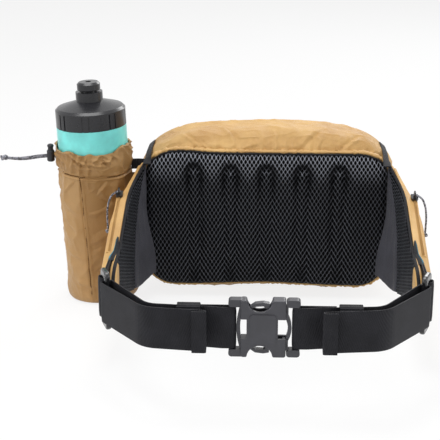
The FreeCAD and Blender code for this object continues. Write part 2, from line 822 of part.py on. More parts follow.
def wings():
    """Each wing: grey panel at the root, spacer-mesh pad, tan zipped pocket outside, webbing tab."""
    points, radii = wing_route()
    deep, pouch = value("wing_pad_depth"), value("wing_pocket_depth")
    length, high, low = value("wing_length"), value("wing_root_high"), value("wing_root_low")
    front_high, front_low = value("wing_front_high"), value("wing_front_low")
    middle, tall, reach = value(WING_X), 1.2 * high, value("panel_width / 6")
    lap, belly, throat = value("wing_root_lap"), value("wing_belly_y"), value("wing_throat_y")
    outline = [
        (lap, high), (-value("wing_crest_y"), value("wing_crest_high")),
        (-value("wing_fall_y"), value("wing_fall_high")), (-length, front_high), (-length, front_low),
        (-belly, front_low + value("wing_belly_rise")), (-throat, value("wing_throat_low")), (lap, low),
    ]
    end, under = value("wing_end_round"), value("wing_belly_round")
    rounds = [0, value("wing_crest_round"), value("wing_fall_round"), end, end, under, under, 0]
    whole = band(points, radii, 0, deep, 0, tall)
    layer = whole.common(side_slab(outline, rounds, reach, middle))
    foot = value("panel_foot")
    toe = value("panel_foot_low")
    split = [(lap, tall), (value("panel_edge_round / 2"), high), (-foot, toe), (-foot, -toe), (lap, -toe)]
    root = side_slab(split, [0] * len(split), reach, middle)
    pad_piece = solid("wing_mesh_pad_right", layer.cut(root))
    panel_piece = solid("wing_panel_right", layer.common(root))

    begin, stop = value("wing_pocket_start"), value("wing_length - wing_pocket_inset")
    zip_high, fall = value("wing_zip_high"), value("wing_zip_fall")
    knee = length - value("wing_pocket_nose")
    nose_high = zip_high - fall - value("wing_pocket_drop")
    low = front_low + value("wing_pocket_margin")
    heel = value("wing_pocket_low")
    pouch_line = [
        (-begin, zip_high), (-knee, zip_high - fall), (-stop, nose_high), (-stop, low), (-belly, low),
        (-begin - value("wing_pocket_toe"), heel), (-begin, heel),
    ]
    bend = value("wing_pocket_round")
    rounds = [bend / 2, under, bend, bend, under, bend, bend / 2]
    pouch_shape = band(points, radii, -deep, deep + pouch, 0, tall)
    pouch_shape = pouch_shape.common(side_slab(pouch_line, rounds, reach, middle))
    anchor, belt = value(TAB_ANCHOR), value("belt_height")
    slot_high = value("webbing_width / 2 + cloth_gap")
    slot = Part.makeBox(value("2 * webbing_depth + 2 * cloth_gap"), length - anchor, 2 * slot_high,
                        Vector(middle + deep, -length, belt - slot_high))
    pouch_piece = solid("wing_pocket_right", pouch_shape.cut(slot))
    made = {"wing_mesh_pad": pad_piece, "wing_panel": panel_piece, "wing_pocket": pouch_piece}
    for label, piece in made.items():
        finish(piece, label + "_right")
        finish(mirrored(label + "_left", piece), label + "_left")

    # zip on the sloping top of each wing pocket
    slope = math.degrees(math.atan2(fall, knee - begin))
    down = Rotation(Vector(0, 0, 1), -90).multiply(Rotation(Vector(0, 1, 0), slope))
    run = "(zip_start - wing_pocket_start)"
    top = f"wing_zip_high - {run} * wing_zip_fall / (wing_length - wing_pocket_nose - wing_pocket_start)"
    seat_x = f"{WING_X} + wing_pad_depth + wing_pocket_depth / 2"
    tape = zip_tape("wing_zip_tape_right", "wing_zip_length", (seat_x, "-zip_start", top), down)
    forth = Vector(1, 0, 0)
    along = down.multVec(forth)
    slider = zip_slider("wing_zip_slider_right", (seat_x, f"-zip_start - slider_length * {abs(along.y):.9f}",
                                                  f"{top} - slider_length * {abs(along.z):.9f}"), down)
    finish(mirrored("wing_zip_tape_left", tape), "wing_zip_tape_left")
    finish(mirrored("wing_zip_slider_left", slider), "wing_zip_slider_left")


def wing_tabs():
    """Webbing loop sewn into each wing's front end and round the rear bar of the belt's slider."""
    wide, depth = "webbing_width", "webbing_depth"
    foot_z = f"belt_height - {wide} / 2"
    sleeve = part_cylinder("tab_sleeve", f"ring_loop + {depth}", wide, (RING_X, f"-{RING_Y}", foot_z))
    plies = part_box("tab_plies", (f"2 * {depth}", f"{RING_Y} - {TAB_ANCHOR} - cloth_gap", wide),
                     (f"{RING_X} - {depth}", f"-{RING_Y}", foot_z))
    bar = part_cylinder("tab_bar_space", "ring_loop", f"{wide} + 2", (RING_X, f"-{RING_Y}", f"{foot_z} - 1"))
    tab = cut("wing_tab_right", fuse("tab_whole", sleeve, plies), bar)
    finish(tab, "wing_tab_right")
    finish(mirrored("wing_tab_left", tab), "wing_tab_left")


def wing_rings():
    """Moulded two-bar sliders between wing tabs and belt straps."""
    ring = new_body("belt_ring_right")
    frame = sketch_on(ring, "XZ_Plane")
    half = "ring_height / 2"
    round_rectangle(frame, "-ring_bar / 2", "ring_pitch + ring_bar / 2", f"-{half}", half, "ring_bar")
    round_rectangle(frame, "ring_bar / 2", "ring_pitch - ring_bar / 2", f"-{half} + ring_end",
                    f"{half} - ring_end", "1")
    pad(ring, frame, "ring_depth", both=True)
    deep = value("ring_depth / 2")
    soften(ring, "ring_bar / 3",
           lambda e: abs(abs(e.BoundBox.YMin) - deep) < 0.01 and e.BoundBox.YLength < 0.01)
    turn = Rotation(Vector(0, 0, 1), -90 - value("ring_angle"))
    place(ring, RING_X, f"-{RING_Y}", "belt_height", turn=turn)
    finish(ring, "belt_ring_right")
    finish(mirrored("belt_ring_left", ring), "belt_ring_left")


# ---------------------------------------------------------------- belt


def strap_shape(bar_x):
    """One strap: sewn return, loop round the buckle's bar, inner run, loop round the ring, tail and hem."""
    y, deep = -value("buckle_y"), value("webbing_depth")
    small = value("web_bar / 2 + thread_gap + webbing_depth / 2")
    large, seat = value("strap_loop"), value("strap_seat")
    turn = math.radians(value("ring_angle"))
    pitch = value("ring_pitch")
    ring = Vector(value(RING_X) - pitch * math.sin(turn), -value(RING_Y) - pitch * math.cos(turn), 0)
    bend = Vector(value("bend_x"), y - value("bend_outset"), 0)
    inner_bend = Vector(value("inner_bend_x"), y + value("inner_bend_inset"), 0)
    way = (bend - ring).normalize()
    outer = Vector(-way.y, way.x, 0)
    first = ring - outer * large - way * seat
    second = ring + outer * large - way * seat
    tail_y, tail_end, hem = y - value("tail_outset"), value("tail_end"), value("hem_length")
    points = [
        (bar_x + value("return_length"), y + small),
        (bar_x - small, y + small),
        (bar_x - small, y - small),
        (bar_x + 9, y - small),
        (bar_x + 20, y - 0.9),
        (inner_bend.x, inner_bend.y),
        (first.x, first.y),
        (second.x, second.y),
        (bend.x, bend.y),
        (tail_end, tail_y),
        (tail_end, tail_y - 2 * deep),
        (tail_end + hem, tail_y - 2 * deep + 0.2),
    ]
    turns = [small * 0.98, small * 0.98, 12, 30, value("bend_radius") * 0.7, large * 0.6, large * 0.6,
             value("bend_radius"), deep * 0.95, deep * 0.95]
    half, middle = value("webbing_width / 2"), value("belt_height")
    return band(points, turns, deep / 2, deep / 2, middle - half, middle + half)


def belt():
    """Two straps and the sleeves that keep their tails down."""
    finish(solid("belt_strap_right", strap_shape(value("web_bar_right"))), "belt_strap_right")
    other = solid("belt_strap_left_whole", strap_shape(value("web_bar_left")))
    finish(mirrored("belt_strap_left", other), "belt_strap_left")
    belt_keeper("belt_keeper_right", "keeper_right")
    other = belt_keeper("belt_keeper_left_whole", "keeper_left")
    finish(mirrored("belt_keeper_left", other), "belt_keeper_left")
    finish(doc.getObject("belt_keeper_right"), "belt_keeper_right")


def belt_keeper(name, centre):
    """Elastic sleeve round a strap's inner runs, behind its tail."""
    wall, gap = "keeper_wall", "cloth_gap"
    near = f"buckle_y - web_bar / 2 - thread_gap - webbing_depth - {gap}"
    slope = "(tail_outset - bend_outset) / (bend_x - tail_end)"
    tail = f"bend_outset + (bend_x - {centre} - keeper_length / 2) * {slope}"
    far = f"buckle_y + {tail} - webbing_depth / 2 - {gap} - {wall}"
    half, start = f"webbing_width / 2 + {gap}", f"{centre} - keeper_length / 2"
    outside = part_box(name + "_outside",
                       ("keeper_length", f"{far} - ({near}) + 2 * {wall}", f"2 * ({half} + {wall})"),
                       (start, f"-({far}) - {wall}", f"belt_height - ({half}) - {wall}"))
    inside = part_box(name + "_inside", ("keeper_length + 2", f"{far} - ({near})", f"2 * ({half})"),
                      (f"{start} - 1", f"-({far})", f"belt_height - ({half})"))
    return cut(name, outside, inside)


# ---------------------------------------------------------------- side-release buckle


def bow(name, middle_x, half_height, depth, outward):
    """Curved bar between two ends: part of a ring whose sagitta is the bow's rise."""
    rise = "bow_rise"
    radius = f"(({half_height})^2 + {rise}^2) / (2 * {rise})"
    centre_x = f"{middle_x} - ({outward}) * ({radius})"
    spin_round = Rotation(Vector(1, 0, 0), -90)
    start_y = f"-buckle_y - ({depth}) / 2"
    big = part_cylinder(name + "_outside", f"{radius} + bow_bar / 2", depth,
                        (centre_x, start_y, "belt_height"), turn=spin_round)
    small = part_cylinder(name + "_inside", f"{radius} - bow_bar / 2", f"{depth} + 2",
                          (centre_x, f"{start_y} - 1", "belt_height"), turn=spin_round)
    ring = cut(name + "_ring", big, small)
    low_x = f"{middle_x} - 2 * {rise} - bow_bar" if outward == "1" else f"{middle_x} - bow_bar"
    keep = part_box(name + "_window", (f"2 * {rise} + 2 * bow_bar", f"{depth} + 2", f"2 * ({half_height})"),
                    (low_x, f"{start_y} - 1", f"belt_height - ({half_height})"))
    return common(name, ring, keep)


def buckle_housing():
    """Female half: hollow housing, notches for thumb and finger, windows, lugs, bow and strap bar."""
    body = new_body("buckle_core")
    half = "buckle_height / 2"
    core = sketch_on(body, "XZ_Plane")
    round_rectangle(core, "-housing_left", "mouth_x", f"-{half}", half, "2")
    pad(body, core, "buckle_depth", both=True)
    notch = sketch_on(body, "XZ_Plane")
    circle(notch, "-notch_x", "notch_floor + notch_radius", "notch_radius")
    circle(notch, "-notch_x", "-(notch_floor + notch_radius)", "notch_radius")
    pocket(body, notch, "2 * buckle_depth", both=True)
    edge_high, deep = value(half), value("buckle_depth / 2")
    lip_reach = math.sqrt(value("notch_radius")**2 - (edge_high - value("notch_floor + notch_radius"))**2)

    def notch_corner(edge):
        """True on the four upright edges where a notch meets the top or the bottom of the housing."""
        box = edge.BoundBox
        at_end = abs(abs(box.ZMin) - edge_high) < 0.01 and box.XLength < 0.01 and box.ZLength < 0.01
        return at_end and abs(abs(box.XMin + value("notch_x")) - lip_reach) < 0.01

    soften(body, "notch_lip", notch_corner)
    soften(body, "buckle_round",
           lambda e: abs(abs(e.BoundBox.YMin) - deep) < 0.01 and e.BoundBox.YLength < 0.01)
    panel = sketch_on(body, "XZ_Plane")
    round_rectangle(panel, "-window_left + 2.8", "window_right - 1.8", "-13.5", "13.5", "3")
    pad(body, panel, "buckle_depth + 2 * raised_depth", both=True)
    lugs = sketch_on(body, "XZ_Plane")
    round_rectangle(lugs, "-lug_left", "-housing_left + 3", "lug_inner", half, "2.8")
    round_rectangle(lugs, "-lug_left", "-housing_left + 3", f"-{half}", "-lug_inner", "2.8")
    pad(body, lugs, "lug_depth", both=True)
    windows = sketch_on(body, "XZ_Plane")
    rectangle(windows, "-housing_left - 1", "-window_left", "-window_height / 2", "window_height / 2")
    rectangle(windows, "window_right", "mouth_x + 1", "-window_height / 2", "window_height / 2")
    pocket(body, windows, "2 * buckle_depth", both=True)
    cavity = sketch_on(body, "XZ_Plane")
    rectangle(cavity, "-cavity_left", "mouth_x + 1", "-cavity_half_height", "cavity_half_height")
    pocket(body, cavity, "cavity_depth", both=True)
    place(body, "0", "-buckle_y", "belt_height")
    left_bow = bow("housing_bow", "-housing_left - bow_rise + bow_bar / 2", "lug_inner + 1",
                   "0.6 * lug_depth", "-1")
    bar = part_cylinder("housing_bar", "web_bar / 2", "2 * lug_inner + 2",
                        ("-web_bar_left", "-buckle_y", "belt_height - lug_inner - 1"))
    finish(fuse("buckle_housing", body, left_bow, bar), "buckle_housing")


def buckle_frame():
    """Male half: lugs, bow and strap bar outside, and the shoulders that guide it into the mouth."""
    body = new_body("buckle_shoulders")
    half = "buckle_height / 2"
    lugs = sketch_on(body, "XZ_Plane")
    left = "mouth_x + mouth_gap"
    round_rectangle(lugs, left, "male_right", "lug_inner", half, "2.8")
    round_rectangle(lugs, left, "male_right", f"-{half}", "-lug_inner", "2.8")
    pad(body, lugs, "lug_depth", both=True)
    shoulder = "cavity_half_height - running_gap"
    guides = sketch_on(body, "XZ_Plane")
    inner = "window_height / 2 + 1"
    rectangle(guides, "arm_pivot_x - 1.5", f"{left} + 1.6", inner, shoulder)
    rectangle(guides, "arm_pivot_x - 1.5", f"{left} + 1.6", f"-({shoulder})", f"-({inner})")
    pad(body, guides, "cavity_depth - 2 * running_gap", both=True)
    socket = sketch_on(body, "XZ_Plane")
    circle(socket, "arm_pivot_x", "arm_pivot_z", "arm_root + running_gap")
    circle(socket, "arm_pivot_x", "-arm_pivot_z", "arm_root + running_gap")
    rectangle(socket, "arm_pivot_x - 4", "arm_pivot_x", "arm_pivot_z - arm_root - 1.2",
              "arm_pivot_z + arm_root + 0.6")
    rectangle(socket, "arm_pivot_x - 4", "arm_pivot_x", "-(arm_pivot_z + arm_root + 0.6)",
              "-(arm_pivot_z - arm_root - 1.2)")
    pocket(body, socket, "2 * buckle_depth", both=True)
    place(body, "0", "-buckle_y", "belt_height")
    right_bow = bow("frame_bow", f"{left} + bow_rise - bow_bar / 4", "arm_pivot_z - 2 * arm_root",
                    "0.6 * lug_depth", "1")
    bar = part_cylinder("frame_bar", "web_bar / 2", "2 * lug_inner + 2",
                        ("web_bar_right", "-buckle_y", "belt_height - lug_inner - 1"))
    finish(fuse("buckle_frame", body, right_bow, bar), "buckle_frame")


def buckle_arm(label, up):
    """One spring arm: round root, slender strip, hooked head that fills the notch."""
    arm = new_body(label)
    head, strip = "arm_head_z", "arm_strip"
    outline = [
        ("arm_pivot_x", "arm_pivot_z - 0.9 * arm_root"),
        ("arm_pivot_x", "arm_pivot_z + 0.9 * arm_root"),
        ("arm_catch_x + 1", f"{head} - 4.8"),
        ("arm_catch_x", f"{head} - 4.2"),
        ("arm_catch_x", f"{head} - 0.9"),
        ("arm_catch_x - 5", head),
        ("-arm_tip_x + 5.2", f"{head} - 0.8"),
        ("-arm_tip_x", f"{head} - 4.5"),
        ("-arm_tip_x + 1", f"{head} - 6.2"),
        ("-arm_tip_x + 6", f"{head} - {strip} - 0.4"),
        ("arm_catch_x - 5", f"{head} - {strip}"),
        ("arm_catch_x", "arm_pivot_z - 0.4"),
    ]
    sign = "" if up else "-"
    body_sketch = sketch_on(arm, "XZ_Plane")
    polygon(body_sketch, [(x, f"{sign}({z})") for x, z in outline])
    pad(arm, body_sketch, "arm_depth", both=True)
    root = sketch_on(arm, "XZ_Plane")
    circle(root, "arm_pivot_x", f"{sign}arm_pivot_z", "arm_root")
    pad(arm, root, "arm_depth", both=True)
    corner_x = [value(x) for x, _ in outline[4:10]]
    corner_z = [abs(value(z)) for _, z in outline[4:10]]

    def head_corner(edge):
        box = edge.BoundBox
        spot = (box.XMin, abs(box.ZMin))
        upright = box.XLength < 0.01 and box.ZLength < 0.01
        return upright and any(math.dist(spot, c) < 0.02 for c in zip(corner_x, corner_z))

    soften(arm, "0.7", head_corner)
    place(arm, "0", "-buckle_y", "belt_height")
    return finish(arm, label)


# ---------------------------------------------------------------- trim straps over the bag's shoulders


def bag_fall(x):
    """The share of its turn that the bag's section has fallen by at a distance from the centre line."""
    return f"(1 - cos(asin(({x}) / {BAG_HALF})))"


def shoulder_straps():
    """Thin compression straps from wing top over the bag's shoulder to a ladder lock on the far side."""
    wide, deep, x = value("trim_width"), value("trim_depth"), value(TRIM_X)
    crown = value(f"bag_high - side_high * {bag_fall(TRIM_X + ' - trim_width / 2')}^1.2")
    fall = bag_fall(TRIM_X + " - ladder_width / 2")
    far = f"bag_depth - side_far * {fall}^2 + ladder_depth / 2 + cloth_gap"
    lock_y, lock_top = value(far), value("ladder_z + ladder_height / 2")
    route = [
        Vector(-value("trim_root_y"), value("wing_root_high - trim_root_drop"), 0),
        Vector(value("mesh_depth"), crown - value("trim_near_drop"), 0),
        Vector(value("trim_crown_y"), crown + value("trim_crown_gap"), 0),
        Vector(lock_y, crown + value("trim_far_gap"), 0),
        Vector(lock_y, lock_top, 0),
    ]
    rounds = [value("trim_near_round"), value("trim_crown_round"), value("trim_far_round")]
    edges_up = shifted_run(route, rounds, deep / 2)
    edges_down = shifted_run(route, rounds, -deep / 2)
    (a, b), (c, d) = ends(edges_up), ends(edges_down)
    caps = [Part.LineSegment(a, c).toShape(), Part.LineSegment(b, d).toShape()]
    face = Part.Face(Part.Wire(Part.__sortEdges__(edges_up + edges_down + caps)))
    shape = face.extrude(Vector(0, 0, wide))
    # stand the drawing up: its X becomes Y and its Y becomes Z
    shape.Placement = Placement(Vector(x - wide / 2, 0, 0), Rotation(Vector(1, 1, 1), 120))
    strap = solid("shoulder_strap_right", shape)
    finish(strap, "shoulder_strap_right")
    finish(mirrored("shoulder_strap_left", strap), "shoulder_strap_left")
    lock = new_body("ladder_lock_right")
    half_w, half_h = "ladder_width / 2", "ladder_height / 2"
    frame = sketch_on(lock, "XZ_Plane")
    round_rectangle(frame, f"-{half_w}", half_w, f"-{half_h}", half_h, "2")
    window = "trim_width / 2 + running_gap"
    rectangle(frame, f"-{window}", window, "ladder_height / 12", "ladder_height / 3.2")
    rectangle(frame, f"-{window}", window, "-ladder_height / 3.2", "-ladder_height / 12")
    pad(lock, frame, "ladder_depth", both=True)
    place(lock, TRIM_X, far, "ladder_z")
    finish(lock, "ladder_lock_right")
    finish(mirrored("ladder_lock_left", lock), "ladder_lock_left")


# ---------------------------------------------------------------- bottle and its pocket


def leaning():
    """The bottle and its pocket lean outward at the top."""
    return Rotation(Vector(0, 1, 0), -value("bottle_lean"))


def stand_on_bottle_line(thing, up="0"):
    """Places a turned piece on the leaning line of the bottle, a distance up that line."""
    place(thing, f"-{BOTTLE_X} - ({up}) * sin(bottle_lean)", "bottle_y",
          f"bottle_lift + ({up}) * cos(bottle_lean)", turn=leaning())


def bottle_pocket():
    """Cloth tube with a closed base, cut flat where it stands, and the gathered hem above it."""
    tube = new_body("pocket_tube")
    inside, wall = "bottle_radius + bottle_gap", "pocket_wall"
    half = sketch_on(tube, "XZ_Plane")
    polygon(half, [
        ("0", "-6"), (f"{inside} - 3", "-6"), (f"{inside} + {wall}", "3"), (f"{inside} + {wall}", "hem_low"),
        (inside, "hem_low"), (inside, "1"), (f"{inside} - 1.4", "-floor_gap"), ("0", "-floor_gap"),
    ])
    spin(tube, half)
    stand_on_bottle_line(tube)
    wide = "2 * bottle_radius"
    above = part_box("ground_keep", (f"2 * {wide}", f"2 * {wide}", "hem_high + bottle_lift"),
                     (f"-{BOTTLE_X} - {wide}", f"bottle_y - {wide}", "0"))
    finish(common("bottle_pocket", tube, above), "bottle_pocket")

    hem = new_body("pocket_hem")
    ring = sketch_on(hem, "XZ_Plane")
    polygon(ring, [
        (inside, "hem_low"), (f"{inside} + {wall}", "hem_low"), (f"{inside} + hem_wall", "hem_low + 5"),
        (f"{inside} + hem_wall", "hem_high - 3"), (f"{inside} + hem_wall / 2", "hem_high"),
        (inside, "hem_high - 2"),
    ])
    spin(hem, ring)
    stand_on_bottle_line(hem)
    finish(hem, "pocket_hem")


def bottle():
    """Squeeze bottle: hollow body with a wide neck, lid with paired grip grooves, gasket and pull cap."""
    wall, high, wide, neck = "bottle_wall", "bottle_high", "bottle_radius", "neck_radius"
    flask = new_body("bottle_body")
    half = sketch_on(flask, "XZ_Plane")
    top = f"{high} + neck_length"
    polygon(half, [
        ("0", "0"), (f"{wide} - bottle_foot", "0"), (wide, "bottle_foot"), (wide, high),
        (neck, high), (neck, top), (f"{neck} - {wall}", top), (f"{neck} - {wall}", f"{high} - {wall}"),
        (f"{wide} - {wall}", f"{high} - {wall}"), (f"{wide} - {wall}", f"bottle_foot + {wall} / 2"),
        (f"{wide} - bottle_foot - {wall} / 2", wall), ("0", wall),
    ])
    spin(flask, half)
    stand_on_bottle_line(flask)
    finish(flask, "bottle_body")

    lid = new_body("bottle_lid")
    inside = f"{neck} + thread_gap"
    roof = "neck_length + running_gap + gasket_depth"
    shoulder = "lid_skirt + lid_dome"
    collar_top = f"{shoulder} + collar_length"
    section = sketch_on(lid, "XZ_Plane")
    polygon(section, [
        (inside, "running_gap"), (wide, "running_gap"), (wide, "lid_skirt"),
        (f"{wide} - lid_bevel", "lid_skirt + lid_bevel"),
        ("collar_radius", shoulder), ("collar_radius", collar_top), ("spout_radius", collar_top),
        ("spout_radius", f"{collar_top} + spout_length"), ("spout_bore", f"{collar_top} + spout_length"),
        ("spout_bore", f"{shoulder} - 2"), ("collar_radius - 2", f"{shoulder} - 2.4"),
        (f"{neck} - gasket_width - 1", roof), (inside, roof),
    ])
    spin(lid, section)
    grips = sketch_on(lid, "XY_Plane", "running_gap - 0.1")
    for side in ("", "-"):
        polygon(grips, [
            (f"{wide} - grip_depth", f"{side}(grip_spread / 2 - grip_width / 2)"),
            (f"{wide} + 1", f"{side}(grip_spread / 2 - grip_width / 2)"),
            (f"{wide} + 1", f"{side}(grip_spread / 2 + grip_width / 2)"),
            (f"{wide} - grip_depth", f"{side}(grip_spread / 2 + grip_width / 2)"),
        ])
    groove = pocket(lid, grips, "lid_skirt - 1.5", back=True)
    repeat_round(lid, groove, grips, "grip_grooves")
    stand_on_bottle_line(lid, high)
    finish(lid, "bottle_lid")

    seal = new_body("bottle_gasket")
    washer = sketch_on(seal, "XZ_Plane")
    rectangle(washer, f"{neck} - gasket_width", neck, "neck_length + running_gap", roof)
    spin(seal, washer)
    stand_on_bottle_line(seal, high)
    finish(seal, "bottle_gasket")

    cap = new_body("bottle_cap")
    bore = "spout_radius + running_gap"
    foot = f"{collar_top} + cap_lift"
    crown = f"{foot} + cap_depth"
    ceiling = f"{collar_top} + spout_length + running_gap"
    profile = sketch_on(cap, "XZ_Plane")
    polygon(profile, [
        (bore, foot), ("cap_radius - 0.8", foot), ("cap_radius", f"{foot} + 0.8"),
        ("cap_radius", f"{crown} - cap_bevel"),
        ("cap_radius - cap_bevel", crown), ("spout_bore", crown), ("spout_bore", ceiling), (bore, ceiling),
    ])
    spin(cap, profile)
    stand_on_bottle_line(cap, high)
    finish(cap, "bottle_cap")


def pocket_joins():
    """Webbing tab from hem to bag, and the fin where the pocket is sewn to the bag's side."""
    side = doc.getObject("main_compartment").Shape
    tube = doc.getObject("bottle_pocket").Shape
    hem = doc.getObject("pocket_hem").Shape
    start, reach = value(f"bottle_radius - join_start - {BOTTLE_X}"), value("join_reach")
    corner = Vector(start, value("join_tab_width"), value("join_tab_low"))
    tab = Part.makeBox(reach, value("join_tab_width"), value("join_tab_depth"), corner)
    tab = tab.cut(Part.makeCompound([side, tube, hem]))
    finish(solid("pocket_tab", max(tab.Solids, key=lambda s: s.Volume)), "pocket_tab")
    corner = Vector(start, value("2 * join_tab_width"), value("join_fin_low"))
    fin = Part.makeBox(reach, value("join_fin_depth"), value("join_fin_high - join_fin_low"), corner)
    fin = fin.cut(Part.makeCompound([side, tube, hem]))
    finish(solid("pocket_seam", max(fin.Solids, key=lambda s: s.Volume)), "pocket_seam")


# ---------------------------------------------------------------- cord lock, draw cord and pull cords


def cord_lock():
    """Barrel with a spring-loaded plunger that pinches the draw cord."""
    barrel = new_body("cord_lock_barrel")
    section = sketch_on(barrel, "XZ_Plane")
    polygon(section, [
        ("0", "lock_low"), ("lock_radius - 1", "lock_low"), ("lock_radius", "lock_low + 1"),
        ("lock_radius", f"{LOCK_HIGH} - 0.8"), ("lock_radius - 0.5", LOCK_HIGH),
        ("lock_bore + 0.2", LOCK_HIGH), ("lock_bore + 0.2", "lock_low + lock_floor"),
        ("0", "lock_low + lock_floor"),
    ])
    spin(barrel, section)
    mouths = sketch_on(barrel, "YZ_Plane")
    circle(mouths, "-mouth_spread", "lock_low + mouth_high", "draw_cord / 2 + 0.1")
    circle(mouths, "mouth_spread", "lock_low + mouth_low", "draw_cord / 2 + 0.1")
    pocket(barrel, mouths, "2 * lock_radius", back=False)
    place(barrel, f"-{LOCK_X}", "-lock_y", "0")
    finish(barrel, "cord_lock_barrel")

    plunger = new_body("cord_lock_plunger")
    profile = sketch_on(plunger, "XZ_Plane")
    rise = f"{LOCK_HIGH} + plunger_rise"
    bore = "lock_bore + 0.2 - running_gap"
    polygon(profile, [
        ("0", f"{LOCK_HIGH} - plunger_foot"), (bore, f"{LOCK_HIGH} - plunger_foot"), (bore, f"{rise} - 0.2"),
        ("plunger_head", f"{rise} + 0.6"), ("plunger_head", f"{rise} + 1.6"),
        ("plunger_head * 0.75", f"{rise} + 2.8"), ("plunger_head * 0.3", f"{rise} + 3.3"),
        ("0", f"{rise} + 3.3"),
    ])
    spin(plunger, profile)
    place(plunger, f"-{LOCK_X}", "-lock_y", "0")
    finish(plunger, "cord_lock_plunger")

    wire, radius = value("spring_wire"), value("spring_radius")
    foot = value("lock_low + lock_floor + spring_wire / 2 + 0.1")
    top = value(f"{LOCK_HIGH} - plunger_foot - spring_wire / 2 - 0.1")
    turns = value("spring_angles")
    helix = Part.makeHelix((top - foot) / turns, top - foot, radius)
    # six flats stand for the wire's round section
    turns_of_flat = [Rotation(Vector(0, 1, 0), 60 * k) for k in range(7)]
    spots = [Vector(radius, 0, 0) + turn.multVec(Vector(wire / 2, 0, 0)) for turn in turns_of_flat]
    coil = Part.Wire(helix).makePipeShell([Part.makePolygon(spots)], True, True)
    coil.translate(Vector(-value(LOCK_X), -value("lock_y"), foot))
    finish(solid("cord_lock_spring", coil), "cord_lock_spring")


def draw_cords():
    """The two ends of the hem's draw cord, out of the lock and into one knot."""
    thick = value("draw_cord")
    x, y, z = -value(f"{LOCK_X} + lock_radius") + 0.9, -value("lock_y"), value("lock_low")
    spread, first, second = value("mouth_spread"), z + value("mouth_high"), z + value("mouth_low")
    upper = [(x, y - spread, first), (x - 10, y - 2.6, z + 6.6), (x - 21, y - 4.6, z + 4.9),
             (x - 33, y - 3.6, z + 3.6), (x - 43, y - 1.9, z + 3.9)]
    lower = [(x, y + spread, second), (x - 10, y + 2.9, z + 3.4), (x - 21, y + 5.2, z + 0.6),
             (x - 33, y + 4.2, z + 0.2), (x - 43, y + 1.3, z + 2.3)]
    finish(cord_solid("draw_cord_upper", upper, thick), "draw_cord_upper")
    finish(cord_solid("draw_cord_lower", lower, thick), "draw_cord_lower")
    knot = Part.makeSphere(value("knot_size / 2"), Vector(x - 46.4, y - 0.4, z + 3.3))
    tips = Part.makeCompound([doc.getObject(n).Shape for n in ("draw_cord_upper", "draw_cord_lower")])
    finish(solid("draw_cord_knot", knot.cut(tips)), "draw_cord_knot")


def pull_cords():
    """Cord pull of each wing zip: out of the slider's bail, down the pocket's side, into a knot."""
    slider = doc.getObject("wing_zip_slider_right")
    eye_up = value("tape_depth + coil_depth + slider_plate + 2 * running_gap + bail_opening / 2")
    centre = slider.Placement.multVec(Vector(0, 0, eye_up))
    thick = value("pull_cord")
    x, y, z = centre
    route = [(x - 1.25, y, z + 0.31), (x + 6.5, y - 0.5, z - 1.62), (x + 11, y - 2.2, z - 11),
             (x + 12.4, y - 5.2, z - 24), (x + 11.4, y - 7.4, z - 38)]
    cord = finish(cord_solid("zip_cord_right", route, thick), "zip_cord_right")
    knot = Part.makeSphere(value("pull_knot / 2"), Vector(*route[-1]) + Vector(-0.2, -0.4, -2.2))
    ball = finish(solid("zip_knot_right", knot.cut(cord.Shape)), "zip_knot_right")
    finish(mirrored("zip_cord_left", cord), "zip_cord_left")
    finish(mirrored("zip_knot_left", ball), "zip_knot_left")
    print("eye of the right wing slider", [round(c, 3) for c in centre])


# ---------------------------------------------------------------- the pack


back_panel()
main_compartment()
front_pocket()
bag_zips()
wings()
wing_tabs()
wing_rings()
belt()
buckle_housing()
buckle_frame()
buckle_arm("buckle_arm_top", True)
buckle_arm("buckle_arm_bottom", False)
shoulder_straps()
bottle_pocket()
bottle()
doc.recompute()
pocket_joins()
cord_lock()
draw_cords()
doc.recompute()
pull_cords()
doc.recompute()

for thing in doc.Objects:
    if "Invalid" in thing.State or "Error" in thing.State:
        raise ValueError(f"{thing.Label} did not work out: {thing.State}")
for thing in finished:
    if thing.Shape.isNull() or not thing.Shape.isValid() or not thing.Shape.Solids:
        raise ValueError(f"{thing.Label} is no valid solid")

os.makedirs("parts", exist_ok=True)
for thing in finished:
    thing.Shape.exportStep(f"parts/{thing.Label}.step")
    box = thing.Shape.BoundBox
    print(f"{thing.Label}: {len(thing.Shape.Solids)} solid, {thing.Shape.Volume:.0f} mm3, "
          f"x {box.XMin:.1f}..{box.XMax:.1f}, y {box.YMin:.1f}..{box.YMax:.1f}, "
          f"z {box.ZMin:.1f}..{box.ZMax:.1f}")
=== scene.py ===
# %% [markdown]
# # A waist pack, dressed over its CAD frame
# The rigid pieces (buckle, rings, bottle, sliders) come from CAD with their true shapes, so they only need
# finishes. Everything sewn is made again here as cloth: a surface worked out on a grid, with puckers and folds
# where thread pulls it in. All sizes below are in millimetres until a mesh is written.

# %% Load the frame
import math

